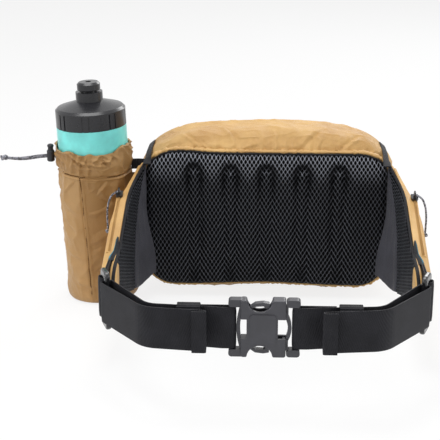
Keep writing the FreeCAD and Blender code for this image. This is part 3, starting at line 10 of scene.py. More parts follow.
import bmesh
import bpy
import numpy as np
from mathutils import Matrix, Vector


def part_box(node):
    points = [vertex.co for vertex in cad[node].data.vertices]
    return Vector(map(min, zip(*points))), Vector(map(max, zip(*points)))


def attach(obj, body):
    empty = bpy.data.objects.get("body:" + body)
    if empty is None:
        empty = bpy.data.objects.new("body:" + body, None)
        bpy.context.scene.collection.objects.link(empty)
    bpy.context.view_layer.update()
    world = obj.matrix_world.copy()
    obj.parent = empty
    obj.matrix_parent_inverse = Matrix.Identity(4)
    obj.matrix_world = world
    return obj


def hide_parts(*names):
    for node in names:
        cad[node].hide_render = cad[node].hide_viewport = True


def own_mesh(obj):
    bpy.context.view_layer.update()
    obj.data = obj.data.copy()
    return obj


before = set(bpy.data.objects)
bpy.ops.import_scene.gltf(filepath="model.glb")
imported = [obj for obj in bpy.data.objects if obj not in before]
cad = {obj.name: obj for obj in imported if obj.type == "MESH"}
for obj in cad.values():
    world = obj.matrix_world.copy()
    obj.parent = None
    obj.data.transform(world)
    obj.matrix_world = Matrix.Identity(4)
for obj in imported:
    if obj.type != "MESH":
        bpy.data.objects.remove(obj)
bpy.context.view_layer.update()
SIDES = (("right", 1), ("left", -1))

# %% [markdown]
# ## Tools: nodes
# Each finish is a small set of nodes on one Principled shader. Patterns read the cloth's UV map in millimetres,
# or the object's own coordinates on moulded pieces, and drive colour, roughness and bump together.


# %% Node tools
def fill_in(tree, made, inputs):
    """Fills a node's inputs, each with a plain value or a link from another node."""
    for slot, given in inputs.items():
        if isinstance(given, bpy.types.NodeSocket):
            tree.links.new(given, made.inputs[slot])
        else:
            made.inputs[slot].default_value = given
    return made


def node(tree, kind, inputs, **settings):
    """A new node with its inputs and settings."""
    made = tree.nodes.new("ShaderNode" + kind)
    for setting, value in settings.items():
        setattr(made, setting, value)
    return fill_in(tree, made, inputs)


def maths(tree, operation, *given):
    """One Math node whose inputs are sockets or plain numbers."""
    return node(tree, "Math", dict(enumerate(given)), operation=operation).outputs[0]


def times(tree, first, second):
    """The product of two inputs."""
    return maths(tree, "MULTIPLY", first, second)


def linear(*rgb):
    """Screen colour from 0 to 255 as the linear numbers that a shader wants, with an alpha of 1."""
    part = np.array(rgb) / 255
    return (*np.where(part <= 0.04045, part / 12.92, ((part + 0.055) / 1.055) ** 2.4).tolist(), 1)


def shade(tree, inputs):
    """Fills inputs of a finish's Principled shader."""
    return fill_in(tree, tree.nodes["Principled BSDF"], inputs)


def new_finish(name, rgb, roughness, sheen=0.0, coat=0.0, specular=0.5):
    """A material with one Principled shader, and its tree."""
    material = bpy.data.materials.new(name)
    material.use_nodes = True
    shade(material.node_tree, {
        "Base Color": linear(*rgb), "Roughness": roughness, "Sheen Weight": sheen, "Sheen Roughness": 0.45,
        "Coat Weight": coat, "Coat Roughness": 0.25, "Specular IOR Level": specular})
    return material, material.node_tree


def cloth_axes(tree):
    """Millimetres along and across the cloth, from the UV map."""
    split = node(tree, "SeparateXYZ", {0: node(tree, "TexCoord", {}).outputs["UV"]})
    return split.outputs["X"], split.outputs["Y"]


def mark_value(tree, mark):
    """The number that a mesh carries under this name at each of its points."""
    return node(tree, "Attribute", {}, attribute_name=mark).outputs["Fac"]


def wave(tree, distance, period, kind="SINE"):
    """sin or cos of 2 pi distance / period."""
    return maths(tree, kind, times(tree, distance, 2 * math.pi / period))


def weave(tree, period):
    """Plain weave: the product of one wave along the cloth and one across it."""
    along, across = cloth_axes(tree)
    return times(tree, wave(tree, along, period), wave(tree, across, period))


def noise(tree, scale, detail=3.0, roughness=0.5):
    """Noise on the object's own coordinates; its factor."""
    return node(tree, "TexNoise", {"Vector": node(tree, "TexCoord", {}).outputs["Object"], "Scale": scale,
                                   "Detail": detail, "Roughness": roughness}).outputs["Fac"]


def tint(tree, factor, low, high, low_rgb, high_rgb):
    """Colours the finish from one screen colour to another between two values of a factor."""
    ramp = node(tree, "ValToRGB", {0: factor})
    for end, spot, rgb in zip(ramp.color_ramp.elements, (low, high), (low_rgb, high_rgb)):
        end.position, end.color = spot, linear(*rgb)
    shade(tree, {"Base Color": ramp.outputs[0]})


def bump(tree, height, distance, strength=1.0, **under):
    """Relief of the given depth in metres, over an earlier bump if Normal is given."""
    made = node(tree, "Bump", {"Distance": distance, "Strength": strength, "Height": height, **under})
    shade(tree, {"Normal": made.outputs[0]})
    return made.outputs[0]


print("mid grey as a linear number:", round(linear(128)[0], 3))

# %% [markdown]
# ## Camera and studio
# A long lens from a little above the belt flattens the pack the way a catalogue picture does. The room is one
# pale floor and broad soft lamps: broad light keeps the black mesh readable and lets the folds of the cloth show.


# %% Camera
def stand(name, data, place=(0, 0, 0), turn=(0, 0, 0)):
    """A new object in the scene."""
    thing = bpy.data.objects.new(name, data)
    thing.location, thing.rotation_euler = place, turn
    bpy.context.scene.collection.objects.link(thing)
    return thing


lens = bpy.data.cameras.new("long_lens")
lens.lens, lens.sensor_width = 100, 36
LOOKS_DOWN, LOOKS_ASIDE = math.radians(18.5), math.radians(2.27)
bpy.context.scene.camera = stand("camera", lens, (0, -1.2285, 0.4988), (math.pi / 2 - LOOKS_DOWN, 0, LOOKS_ASIDE))
bpy.context.scene.view_settings.view_transform = "Standard"
print("lens:", lens.lens, "mm")

# %% Lamps, world and floor
for name, place, aim, size, watts in (
        ("top_softbox", (-0.25, -0.1, 1.5), (0, 0, 0.1), 1.0, 17),
        ("left_softbox", (-1.7, -1.0, 0.85), (0, -0.05, 0.08), 0.9, 10),
        ("right_strip", (1.5, -0.5, 0.7), (0.1, -0.1, 0.08), 0.6, 7),
        ("rim_strip", (0.6, 1.5, 1.1), (0, 0, 0.15), 0.7, 9)):
    lamp = bpy.data.lights.new(name, "AREA")
    lamp.size, lamp.energy = size, watts
    stand(name, lamp, place, (Vector(aim) - Vector(place)).to_track_quat("-Z", "Y").to_euler())


def white_for_lens(tree, lit, white, strength, end):
    """Mixes a lit shader with plain white for rays that come from the lens, a mirror or clear plastic."""
    path = node(tree, "LightPath", {}).outputs
    seen = maths(tree, "MAXIMUM", path["Is Camera Ray"],
                 maths(tree, "MAXIMUM", path["Is Glossy Ray"], path["Is Transmission Ray"]))
    mix = node(tree, "MixShader", {0: times(tree, seen, strength), 1: lit.outputs[0], 2: white.outputs[0]})
    tree.links.new(mix.outputs[0], tree.nodes[end].inputs["Surface"])


world = bpy.data.worlds.new("studio")
bpy.context.scene.world = world
world.use_nodes = True
room = world.node_tree
dim = fill_in(room, room.nodes["Background"], {"Color": (1, 1, 1, 1), "Strength": 0.34})
white_for_lens(room, dim, node(room, "Background", {"Color": (1, 1, 1, 1)}), 1.0, "World Output")

floor_mesh = bpy.data.meshes.new("floor")
floor_mesh.from_pydata([(-8, -8, 0), (8, -8, 0), (8, 8, 0), (-8, 8, 0)], [], [(0, 1, 2, 3)])
floor = stand("floor", floor_mesh, (0, 0, -0.0006))
paper, tree = new_finish("white_paper", (255, 255, 255), 0.9)
lit = shade(tree, {"Base Color": (0.9, 0.9, 0.9, 1)})
white_for_lens(tree, lit, node(tree, "Emission", {}), 0.82, "Material Output")
floor_mesh.materials.append(paper)
print("four lamps and a floor")

# %% [markdown]
# ## Tools: grids into meshes
# Nearly every sewn piece is a sheet, so one idea serves them all: an array of rows x columns x 3 numbers is a
# surface, and a closed piece is two such surfaces, front and back, whose borders are joined by a narrow rim.
# The UV map holds millimetres of cloth, so a weave is the same size on every piece.


# %% Grids
def pile(*parts):
    """Grids of numbers side by side on a last axis, so that x, y and z make points. A plain number fills its grid."""
    return np.stack(np.broadcast_arrays(*parts), -1)


def net(rows, columns):
    """Two grids of numbers, one that runs with the rows and one with the columns."""
    return np.meshgrid(rows, columns, indexing="ij")


def circle(count):
    """Angles once round, the last the same as the first."""
    return np.linspace(0, 2 * np.pi, count)


def quads(rows, columns):
    """Corner numbers of the faces between neighbours on a grid: (i, j), (i, j+1), (i+1, j+1), (i+1, j)."""
    i, j = net(np.arange(rows - 1), np.arange(columns - 1))
    first = (i * columns + j).reshape(-1)
    return pile(first, first + 1, first + columns + 1, first + columns)


def border(rows, columns):
    """Corner numbers along the rim of a grid, once round."""
    number = np.arange(rows * columns).reshape(rows, columns)
    return np.concatenate([number[0, :-1], number[:-1, -1], number[-1, :0:-1], number[:0:-1, 0]])


print("a grid of 3 x 4 points has", len(quads(3, 4)), "faces and", len(border(3, 4)), "points on its rim")


# %% Grids into meshes
def write_mesh(name, spots, faces, uv, material, slot, *nodes, body="bag", sharp=None, marks=None, fill=None):
    """Makes an object from corners in millimetres: welds doubles, turns faces outwards, and puts it on a body.
    It stands for the CAD nodes that are named. Marks are numbers that its finish reads at each point."""
    mesh = bpy.data.meshes.new(name)
    mesh.from_pydata((spots.reshape(-1, 3) * 0.001).tolist(), [], faces.tolist())
    corner = np.empty(len(mesh.loops), dtype=np.int32)
    mesh.loops.foreach_get("vertex_index", corner)
    layer = mesh.uv_layers.new(name="cloth_mm")
    layer.data.foreach_set("uv", uv.reshape(-1, 2).astype(np.float32)[corner].reshape(-1))
    for mark, values in (marks or {}).items():
        mesh.attributes.new(mark, "FLOAT", "POINT").data.foreach_set("value", values.astype(np.float32).reshape(-1))
    work = bmesh.new()
    work.from_mesh(mesh)
    bmesh.ops.remove_doubles(work, verts=work.verts, dist=2e-6)
    bmesh.ops.recalc_face_normals(work, faces=work.faces)
    work.to_mesh(mesh)
    work.free()
    mesh.shade_smooth()
    if sharp:
        mesh.set_sharp_from_angle(angle=math.radians(sharp))
    mesh.materials.append(material)
    thing = stand(name, mesh)
    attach(thing, body)
    if nodes:
        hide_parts(*nodes)
    return thing


def closed_pair(name, front, back, uv, material, slot, *nodes, sharp=50, marks=None, fill=None):
    """A closed piece between two grids of the same shape: both grids, and a rim that joins their borders."""
    rows, columns = front.shape[:2]
    count = rows * columns
    sides, rim = quads(rows, columns), border(rows, columns)
    after = np.roll(rim, -1)
    faces = np.concatenate([sides, sides[:, ::-1] + count, pile(rim, after, after + count, rim + count)])
    both = {mark: np.stack([values] * 2) for mark, values in (marks or {}).items()}
    return write_mesh(name, np.stack([front, back]), faces, np.stack([uv] * 2), material, slot, *nodes,
                      sharp=sharp, marks=both, fill=fill)


def skin(name, grid, uv, material, slot, *nodes, **more):
    """One grid whose borders meet or end in poles, so that welding closes it."""
    return write_mesh(name, grid, quads(*grid.shape[:2]), uv, material, slot, *nodes, **more)


print("closed pairs and skins")


# %% Formulas for heights
def unit(rows):
    """Each vector divided by its own length."""
    return rows / np.maximum(np.linalg.norm(rows, axis=-1, keepdims=True), 1e-9)


def smooth(low, high, amount):
    """0 below low, 1 above high and the curve 3t^2 - 2t^3 between."""
    part = np.clip((amount - low) / (high - low), 0, 1)
    return part * part * (3 - 2 * part)


def bell(distance, width):
    """e^(-(d / w)^2): 1 on the line and nearly nought two widths away."""
    return np.exp(-(distance / width) ** 2)


def steep(edge, width, power=3.0):
    """Rise of a side from 0 at the edge to 1 at a width in: (1 - (1 - t)^p)^(1/p), a quarter circle for p = 2."""
    part = 1 - np.clip(edge / width, 0, 1)
    return (1 - part ** power) ** (1 / power)


print("half way in, a side has risen to", round(float(steep(0.5, 1, 2)), 3))


# %% Path tools
def run_length(path):
    """Distance along a path of points, from its start."""
    return np.concatenate([[0], np.cumsum(np.linalg.norm(np.diff(path, axis=0), axis=1))])


def rounded(points, radii, step=1.5):
    """Straight runs joined by tangent arcs, as evenly spaced points: each arc is c + r (e cos a + d sin a)."""
    points = np.asarray(points, dtype=float)
    ways = unit(np.diff(points, axis=0))
    parts = [points[:1]]
    for corner, before, after, radius in zip(points[1:-1], ways[:-1], ways[1:], radii):
        turn = math.acos(float(np.clip(before @ after, -1, 1)))
        start = corner - before * radius * math.tan(turn / 2)
        centre = corner + unit(after - before) * (radius / math.cos(turn / 2))
        sweep = np.linspace(0, turn, max(4, int(turn * 10)))[:, None]
        parts.append(centre + (start - centre) * np.cos(sweep) + before * radius * np.sin(sweep))
    path = np.concatenate(parts + [points[-1:]])
    along = run_length(path)
    even = np.linspace(0, along[-1], max(8, int(along[-1] / step)))
    return pile(*(np.interp(even, along, path[:, k]) for k in range(3)))


def loop_way(path):
    """The direction along a closed path, whose last point is its first."""
    way = np.gradient(path, axis=0)
    way[0] = way[-1] = path[1] - path[-2]
    return unit(way)


def beside(path, first, second, first_by, second_by):
    """Rows of points round a path: path + a first + b second, for each pair of distances a and b."""
    first, second = (np.broadcast_to(way, path.shape)[:, None] for way in (first, second))
    return path[:, None] + first * first_by[..., None] + second * second_by[..., None]


def with_poles(path, grid):
    """A tube's grid with the two ends of its path as poles, so that welding closes it."""
    start, end = (np.broadcast_to(path[k], (1, *grid.shape[1:])) for k in (0, -1))
    return np.concatenate([start, grid, end])


print("a corner of 90 degrees becomes", len(rounded([(0, 0, 0), (20, 0, 0), (20, 20, 0)], [9])), "points")

# %% [markdown]
# ## Tools: how cloth moves
# Cloth is never flat. A sum of plane waves with seeded directions gives smooth swell, and one minus its size
# gives ridges: sharp crests between soft valleys, which is how a coated nylon creases. Stretching the points
# before they go in turns the ridges into drag lines that run one way.


# %% Swell and creases
def swell(points, size, seed, count=16):
    """Smooth unevenness from -1 to 1: the mean of count plane waves sin(k . p + phase) about size long."""
    pick = np.random.RandomState(seed)
    ways = unit(pick.normal(size=(count, 3))) * (2 * np.pi / (size * pick.uniform(0.7, 1.4, (count, 1))))
    phase = pick.uniform(0, 2 * np.pi, count)
    total = np.sin(points @ ways.T + phase).sum(axis=-1)
    return np.clip(total / (1.35 * math.sqrt(count)), -1, 1)


def creases(points, size, seed, sharpness=2.0):
    """Ridges from 0 to 1: (1 - |swell|) raised to a power, high where the swell changes sign."""
    return (1 - np.abs(swell(points, size, seed))) ** sharpness


def drag_line(u, v, start, end, height, width):
    """A crease from start to end: height (d / w) e^(-(d / w)^2) off the line, a ridge beside a valley."""
    start, end = np.array(start, dtype=float), np.array(end, dtype=float)
    length = np.linalg.norm(end - start)
    way = (end - start) / length
    along = (u - start[0]) * way[0] + (v - start[1]) * way[1]
    off = ((u - start[0]) * -way[1] + (v - start[1]) * way[0]) / width
    taper = smooth(-0.05 * length, 0.15 * length, along) * smooth(length * 1.05, length * 0.55, along)
    return height * 2.3 * off * bell(off, 1) * taper


print("tools are ready")

# %% [markdown]
# ## Finishes
# ### Coated nylon
# The tan cloth is thin and coated: a fine plain weave, a soft satin shine on its crests, and the small sharp
# crinkles that a coating gives. Colour drifts a little, paler on worn crests. On the bottle pocket a mark also
# paints light: one side of the pocket is painted paler than the other, as if lit from the left.


# %% Coated nylon
def coated_nylon(name, low_rgb, high_rgb, roughness, crinkle=0.0006, specular=0.4, painted_light_mark=None):
    """Coated cloth. With a mark of painted light, the colour also follows that painted light, paler at 1."""
    material, tree = new_finish(name, high_rgb, roughness, sheen=0.08, specular=specular)
    drift = noise(tree, 26, 4, 0.6)
    if painted_light_mark:
        tone = maths(tree, "MULTIPLY_ADD", mark_value(tree, painted_light_mark), 0.5, times(tree, drift, 0.5))
        tint(tree, tone, 0.15, 0.85, low_rgb, high_rgb)
    else:
        tint(tree, drift, 0.3, 0.7, low_rgb, high_rgb)
    shade(tree, {"Roughness": maths(tree, "MULTIPLY_ADD", drift, 0.18, roughness - 0.09)})
    first = bump(tree, noise(tree, 130, 5, 0.62), crinkle)
    bump(tree, weave(tree, 0.8), 0.00006, Normal=first)
    return material


tan_bright = coated_nylon("tan_nylon", (186, 143, 84), (211, 171, 108), 0.46)
# its mark paints light on the bottle pocket: one side paler, as if lit from the left
tan_deep = coated_nylon("tan_nylon_deep", (146, 107, 56), (190, 150, 98), 0.46, painted_light_mark="painted_side_light")
grey_nylon = coated_nylon("grey_nylon", (56, 56, 62), (70, 70, 77), 0.5, 0.0003, 0.15)
lining_blue = coated_nylon("lining_blue", (20, 92, 112), (38, 128, 146), 0.5)
# dark brown thread, dark enough that its rows along the pocket's seams also paint the shade in the seams' folds
thread_and_seam_shade = new_finish("brown_thread_seam_shade", (98, 66, 32), 0.6, specular=0.2)[0]
print("nylons:", tan_bright.name, tan_deep.name, grey_nylon.name, lining_blue.name)


# %% [markdown]
# ### Spacer mesh
# Knitted spacer mesh is rows of open cells, each row shifted by half a cell. Two families of strands cross: one
# where |cos| of the rising phase is near nought, one where |cos| of the falling phase is. Their product is large
# in the cells. Light is painted on the strands: where the knit bends over a rib, the family that would turn to the
# light is painted brighter, and a slant mark says which; a second mark says how brightly the strands are painted.


# %% Spacer mesh
def spacer_mesh(name, cell, row, slant=None, light=None):
    """Open knit with painted light. slant (-1 to 1) picks the family painted brighter, light (0 to 1) is how
    brightly the strands are painted. Each is a number, or is read from the mesh's own marks."""
    strand_rgb, hole_rgb = (148, 151, 160), (2, 2, 3)
    material, tree = new_finish(name, strand_rgb, 0.6, specular=0.04)
    along, across = cloth_axes(tree)
    sideways = times(tree, along, 1 / cell)
    rising, falling = (
        maths(tree, "ABSOLUTE", wave(tree, maths(tree, "MULTIPLY_ADD", across, way / row, sideways), 2, "COSINE"))
        for way in (1, -1))
    openness = times(tree, rising, falling)
    strand = node(tree, "MapRange", {"Value": openness, "From Min": 0.09, "From Max": 0.36, "To Min": 1.0,
                                     "To Max": 0.0})
    favour = times(tree, maths(tree, "SUBTRACT", rising, falling),
                   mark_value(tree, "painted_light_slant") if slant is None else slant)
    # painted light: the strands' colour is scaled by how brightly they are painted, one family more than the other
    painted_strand_light = times(tree, maths(tree, "MULTIPLY_ADD", favour, 0.9, 1.0),
                   mark_value(tree, "painted_knit_light") if light is None else light)
    tint(tree, times(tree, strand.outputs[0], painted_strand_light), 0, 1, hole_rgb, strand_rgb)
    first = bump(tree, maths(tree, "SUBTRACT", 1.0, openness), 0.0012)
    bump(tree, weave(tree, 0.65), 0.00008, Normal=first)
    return material


mesh_black = spacer_mesh("black_spacer_mesh", 4.4, 7.3)
# the wing's knit is painted at about a third of the light, with one family painted brighter throughout
wing_mesh = spacer_mesh("wing_spacer_mesh", 9.5, 3.6, slant=0.8, light=0.34)
print("meshes:", mesh_black.name, wing_mesh.name)


# %% [markdown]
# ### Webbing, binding and cord
# Belt webbing is a heavy flat weave with fine ribs across it and a firm edge. Grosgrain binding has coarser ribs.
# The draw cord is braided from grey and black yarns, which read as speckles.


# %% Webbing, grosgrain, cord
def ribbed(name, low_rgb, high_rgb, rib, roughness, relief, twill=0.0):
    """Ribs across the length: sin(2 pi (u + twill v) / rib), with the yarns of the warp between them."""
    material, tree = new_finish(name, high_rgb, roughness, sheen=0.03, specular=0.16)
    along, across = cloth_axes(tree)
    ribs = wave(tree, maths(tree, "ADD", along, times(tree, across, twill)), rib)
    height = maths(tree, "ADD", ribs, times(tree, wave(tree, across, rib * 0.8), 0.5))
    tint(tree, maths(tree, "MULTIPLY_ADD", ribs, 0.18, noise(tree, 60)), 0.25, 0.8, low_rgb, high_rgb)
    bump(tree, height, relief)
    return material


belt_web = ribbed("belt_webbing", (29, 29, 33), (41, 41, 46), 1.5, 0.5, 0.00012, 0.25)
narrow_web = ribbed("narrow_webbing", (18, 18, 21), (42, 42, 47), 1.6, 0.55, 0.0003)
grosgrain = ribbed("grosgrain_binding", (20, 20, 23), (38, 38, 42), 1.1, 0.6, 0.0002)
zip_tape_cloth = ribbed("zip_tape_cloth", (20, 20, 22), (34, 34, 37), 0.9, 0.65, 0.0001)


def braided(name, rgb, fleck_rgb):
    """Small cells of two yarn colours, taller in their middles."""
    material, tree = new_finish(name, rgb, 0.6, sheen=0.2)
    cells = node(tree, "TexVoronoi", {"Vector": node(tree, "TexCoord", {}).outputs["Object"], "Scale": 900})
    split = node(tree, "SeparateColor", {0: cells.outputs["Color"]})
    tint(tree, split.outputs[0], 0.45, 0.55, rgb, fleck_rgb)
    bump(tree, maths(tree, "SUBTRACT", 1.0, cells.outputs["Distance"]), 0.0004, 0.8)
    return material


speckled_cord = braided("speckled_cord", (40, 40, 46), (150, 150, 160))
print("webbing, binding, tape and cord finishes")


# %% [markdown]
# ### Moulded plastics and metal
# Acetal buckles have a fine satin grain. The wing rings are polished and catch long highlights. The bottle is
# soft polyethylene: light goes a little way in before it comes back.


# %% Plastics
def moulded(name, rgb, roughness, grain=0.00004, coat=0.0, scale=1400):
    """A moulded surface: a fine grain, and a slow cloud that changes both its colour and its roughness."""
    material, tree = new_finish(name, rgb, roughness, coat=coat)
    cloud = noise(tree, 45)
    tint(tree, cloud, 0.3, 0.7, tuple(int(c * 0.86) for c in rgb), rgb)
    shade(tree, {"Roughness": maths(tree, "MULTIPLY_ADD", cloud, 0.16, roughness - 0.08)})
    bump(tree, noise(tree, scale, 2), grain, 0.7)
    return material


spring_wire = moulded("spring_wire", (170, 170, 175), 0.25)
shade(spring_wire.node_tree, {"Metallic": 1.0})
teal_shell = moulded("teal_polyethylene", (138, 252, 246), 0.34)
shade(teal_shell.node_tree, {"Subsurface Weight": 0.15, "Subsurface Radius": (0.004, 0.006, 0.006),
                             "Subsurface Scale": 1.0})
slider_coated = moulded("coated_slider", (30, 30, 33), 0.32, 0.00002)

for finish, names in (
        (moulded("buckle_acetal", (68, 68, 74), 0.34),
         "buckle_housing buckle_frame buckle_arm_top buckle_arm_bottom ladder_lock_left ladder_lock_right"),
        (moulded("polished_ring", (30, 30, 33), 0.22, 0.00001, coat=0.3), "belt_ring_left belt_ring_right"),
        (moulded("lid_moulding", (33, 33, 37), 0.27, 0.00006, scale=900), "bottle_lid bottle_cap"),
        (moulded("lock_moulding", (30, 30, 34), 0.35), "cord_lock_barrel cord_lock_plunger"),
        (moulded("seal_rubber", (90, 90, 92), 0.6), "bottle_gasket"),
        (moulded("rubber_pull", (28, 28, 31), 0.5, 0.0001, scale=500),
         "main_zip_pull_left main_zip_pull_right front_zip_pull"),
        (slider_coated, "main_zip_slider_left main_zip_slider_right front_zip_slider wing_zip_slider_left "
                        "wing_zip_slider_right"),
        (teal_shell, "bottle_body"), (spring_wire, "cord_lock_spring")):
    for name in names.split():
        cad[name].data.materials.clear()
        cad[name].data.materials.append(finish)
print("rigid CAD pieces have their finishes")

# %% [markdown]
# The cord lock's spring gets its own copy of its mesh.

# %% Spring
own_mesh(cad["cord_lock_spring"])

# %% [markdown]
# ## Cords
# Cords come first among the pieces, because their room is settled in CAD. Each is one smooth line through the
# same points as its CAD tube. The spline's order is set last, so that it stays a curve.


# %% Cords
def cord(name, route, thickness, body, cad_node):
    """A NURBS line through millimetre points, with a round section."""
    data = bpy.data.curves.new(name, "CURVE")
    data.dimensions = "3D"
    data.bevel_depth, data.bevel_resolution, data.resolution_u = thickness / 2000, 5, 10
    data.use_fill_caps = True
    line = data.splines.new("NURBS")
    line.points.add(len(route) - 1)
    for point, spot in zip(line.points, route):
        point.co = (*(0.001 * spot), 1)
    line.order_u = 3
    line.use_endpoint_u = True
    data.materials.append(speckled_cord)
    thing = stand(name, data)
    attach(thing, body)
    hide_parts(cad_node)
    return thing


def knot(name, centre, size, thickness, body, cad_node):
    """Overhand knot: a trefoil (sin t + 2 sin 2t, cos t - 2 cos 2t, -sin 3t) carried by a round section."""
    turn, angle = circle(73), circle(13)
    line = pile(np.sin(turn) + 2 * np.sin(2 * turn), np.cos(turn) - 2 * np.cos(2 * turn), -np.sin(3 * turn))
    line *= (size - thickness) / 6
    way = loop_way(line)
    side = unit(np.cross(way, (0.3, 0.2, 1)))
    half = thickness / 2
    grid = centre + beside(line, side, np.cross(way, side), np.cos(angle) * half, np.sin(angle) * half)
    return skin(name, grid, pile(*net(run_length(line), angle * half)), speckled_cord, "cord", cad_node, body=body)


LOCK = np.array((-228.9, -2.0, 151.0))
apart = 0.62 * 2.3
upper = LOCK + ((0, -apart, 7), (-10, -2.6, 6.6), (-21, -4.6, 4.9), (-33, -3.6, 3.6), (-43, -1.9, 3.9))
lower = LOCK + ((0, apart, 4.6), (-10, 2.9, 3.4), (-21, 5.2, 0.6), (-33, 4.2, 0.2), (-43, 1.3, 2.3))
draw_upper = cord("draw_cord_upper_strand", upper, 2.3, "bag", "draw_cord_upper")
draw_lower = cord("draw_cord_lower_strand", lower, 2.3, "bag", "draw_cord_lower")
end_knot = knot("draw_cord_end_knot", LOCK + (-46.4, -0.4, 3.3), 9.5, 3.0, "bag", "draw_cord_knot")
bail = np.array((149.5, -46.581, 132.559))
for side, sign in SIDES:
    route = bail + ((-1.25, 0, 0.31), (6.5, -0.5, -1.62), (11, -2.2, -11), (12.4, -5.2, -24), (11.4, -7.4, -38))
    route = route * (sign, 1, 1)
    pull = cord(f"wing_pull_cord_{side}", route, 2.0, f"wing_pull_{side}", f"zip_cord_{side}")
    ball = knot(f"wing_pull_knot_{side}", route[-1] + (-0.2 * sign, -0.4, -2.4), 6.6, 2.2, f"wing_pull_{side}",
                f"zip_knot_{side}")
print("four cords and three knots")

# %% [markdown]
# ## Back panel
# The panel that lies on the wearer is foam under spacer mesh, moulded with five pointed ribs between valleys. A
# pillow surface is right here: a flat rounded rectangle whose height is a formula, rolled down at its edge and
# pressed in along both flanks of each rib. Two marks go with it that paint light into the knit's colour: which
# family of strands is painted brighter on each flank, as if it faced up, and how brightly the strands are
# painted, most at the ribs' tips and along the top, with painted shade round the tips and low on the ribs.


# %% Rounded grids
def round_corners(x, z, half_x, half_z, radius):
    """Moves a square grid into a rounded rectangle: in each corner the larger step becomes the distance."""
    over_x, over_z = (np.clip(np.abs(a) - (half - radius), 0, None) for a, half in ((x, half_x), (z, half_z)))
    length = np.maximum(np.hypot(over_x, over_z), 1e-9)
    share = np.where((over_x > 0) & (over_z > 0), np.maximum(over_x, over_z) / length, 1)
    inside_x, inside_z = np.minimum(np.abs(x), half_x - radius), np.minimum(np.abs(z), half_z - radius)
    return np.sign(x) * (inside_x + over_x * share), np.sign(z) * (inside_z + over_z * share)


def pillow_grid(rows, columns, radius):
    """A rounded rectangle's grid from its rows' and its columns' places, and each point's distance from its edge."""
    square_z, square_x = net(rows, columns)
    half_z, half_x = rows[-1], columns[-1]
    edge = np.minimum(half_x - np.abs(square_x), half_z - np.abs(square_z))
    return *round_corners(square_x, square_z, half_x, half_z, radius), edge


def hang(x, z):
    """Height after the panel's top edge has sunk, and its foot risen, a little between the corners."""
    sunk = 2.7 * smooth(118, 160, z) * (1 - 0.85 * bell(x + 88, 24)) * smooth(127, 108, np.abs(x))
    return z - sunk + 3.0 * smooth(52, 14, z) * bell(x, 52)


print("the panel's top edge sinks by", round(160 - float(hang(0, 160)), 2), "mm in its middle")

# %% Back panel
PANEL_MIDDLE = 87
ribs = np.array((-76, -38, 0, 38, 76))
x, z, edge = pillow_grid(np.linspace(-73.6, 73.6, 156), np.linspace(-127, 127, 260), 29)
z = z + PANEL_MIDDLE
roll = steep(edge, 9, 2)
aside = x - ribs[np.abs(x[..., None] - ribs).argmin(-1)]
off = np.abs(aside)
# valleys on both flanks of each rib, which meet above its tip, and a dent under the tip
spread = 1.5 + 4.7 * smooth(143, 126, z)
away = np.where(z > 143, np.hypot(off, 0.75 * (z - 143)), off - spread)
fade = smooth(24, 66, z)
depth = (2.6 + 1.2 * smooth(114, 140, z)) * bell(away, 2.7) * fade
depth += 1.6 * smooth(1, -4, off - spread) * fade * smooth(134, 112, z) * (z < 143)
depth -= 1.4 * bell(z - 138.5, 3.6) * bell(off, 3.4)
uneven = 0.5 * swell(pile(x, 0, z), 46, 5)
front_y = 6.3 - 6.3 * roll + depth + (uneven - 0.3) * roll + 3.2 * smooth(112, 162, z) ** 1.5
# painted light on the knit: which family of strands is painted brighter, and how brightly the strands are painted
reach = 4.5 + 5 * smooth(105, 70, z)
slant = np.sign(aside) * (1 - 2 * smooth(4.8, 7.2, off)) * smooth(0, 1.5, off) * bell(off - 6, reach)
teeth = 149 - 23 * smooth(4, 19, off)
light = 0.3 + 0.7 * smooth(teeth - 2, teeth + 6 + 18 * smooth(4, 19, off), z)
light += 0.7 * bell(z - 140.5, 3) * bell(off, 3.8)
# painted shade: darker in a ring round each rib's tip, and low down along each rib
arch = np.where(z > 139, np.hypot(off, 0.75 * (z - 139)), off)
light *= 1 - 0.7 * bell(arch - 7.6, 2.3) * smooth(100, 134, z)
light *= 1 - 0.4 * smooth(50, 22, z) * smooth(9, 2, off)
hung = hang(x, z)
back_pad = closed_pair("back_pad_mesh", pile(x, front_y, hung), pile(x, 10.9, hung), pile(x, z), mesh_black,
                       "spacer_mesh", "back_panel_mesh", "back_panel_foam", fill=0.7,
                       marks={"painted_light_slant": slant, "painted_knit_light": light})
print("back pad:", len(back_pad.data.polygons), "faces")


# %% [markdown]
# A thread pulls the panel, its binding and the bag together, so the binding is a soft roll round the edge, and
# outside it the tan cloth is gathered into a pale, puckered piping. Both are the same tube on the same outline,
# and both hang as the panel does.


# %% Binding and piping
def outline(half_x, half_z, radius, middle_z, step=1.2):
    """A rounded rectangle in the XZ plane, once round, as evenly spaced points."""
    corners = [(0, -half_z), (half_x, -half_z), (half_x, half_z), (-half_x, half_z), (-half_x, -half_z), (0, -half_z)]
    return rounded([(a, 0, b) for a, b in corners], [radius] * 4, step) + (0, 0, middle_z)


def edge_roll(name, size, pucker, out_by, back_by, material, slot, *nodes):
    """A soft tube on the panel's hung outline: an oval section out_by wide and back_by[1] deep, standing back_by[0]
    back from the panel's face and plumper by the pucker at each point."""
    path = outline(*size, PANEL_MIDDLE)
    path[:, 2] = hang(path[:, 0], path[:, 2])
    plump = pucker(path)[:, None]
    angle = circle(15)
    grid = beside(path, unit(np.cross(loop_way(path), (0, 1, 0))), (0, 1, 0), (out_by + plump) * np.cos(angle),
                  back_by[0] + (back_by[1] + plump) * np.sin(angle))
    skin(name, grid, pile(*net(run_length(path), np.linspace(0, 14, 15))), material, slot, *nodes)


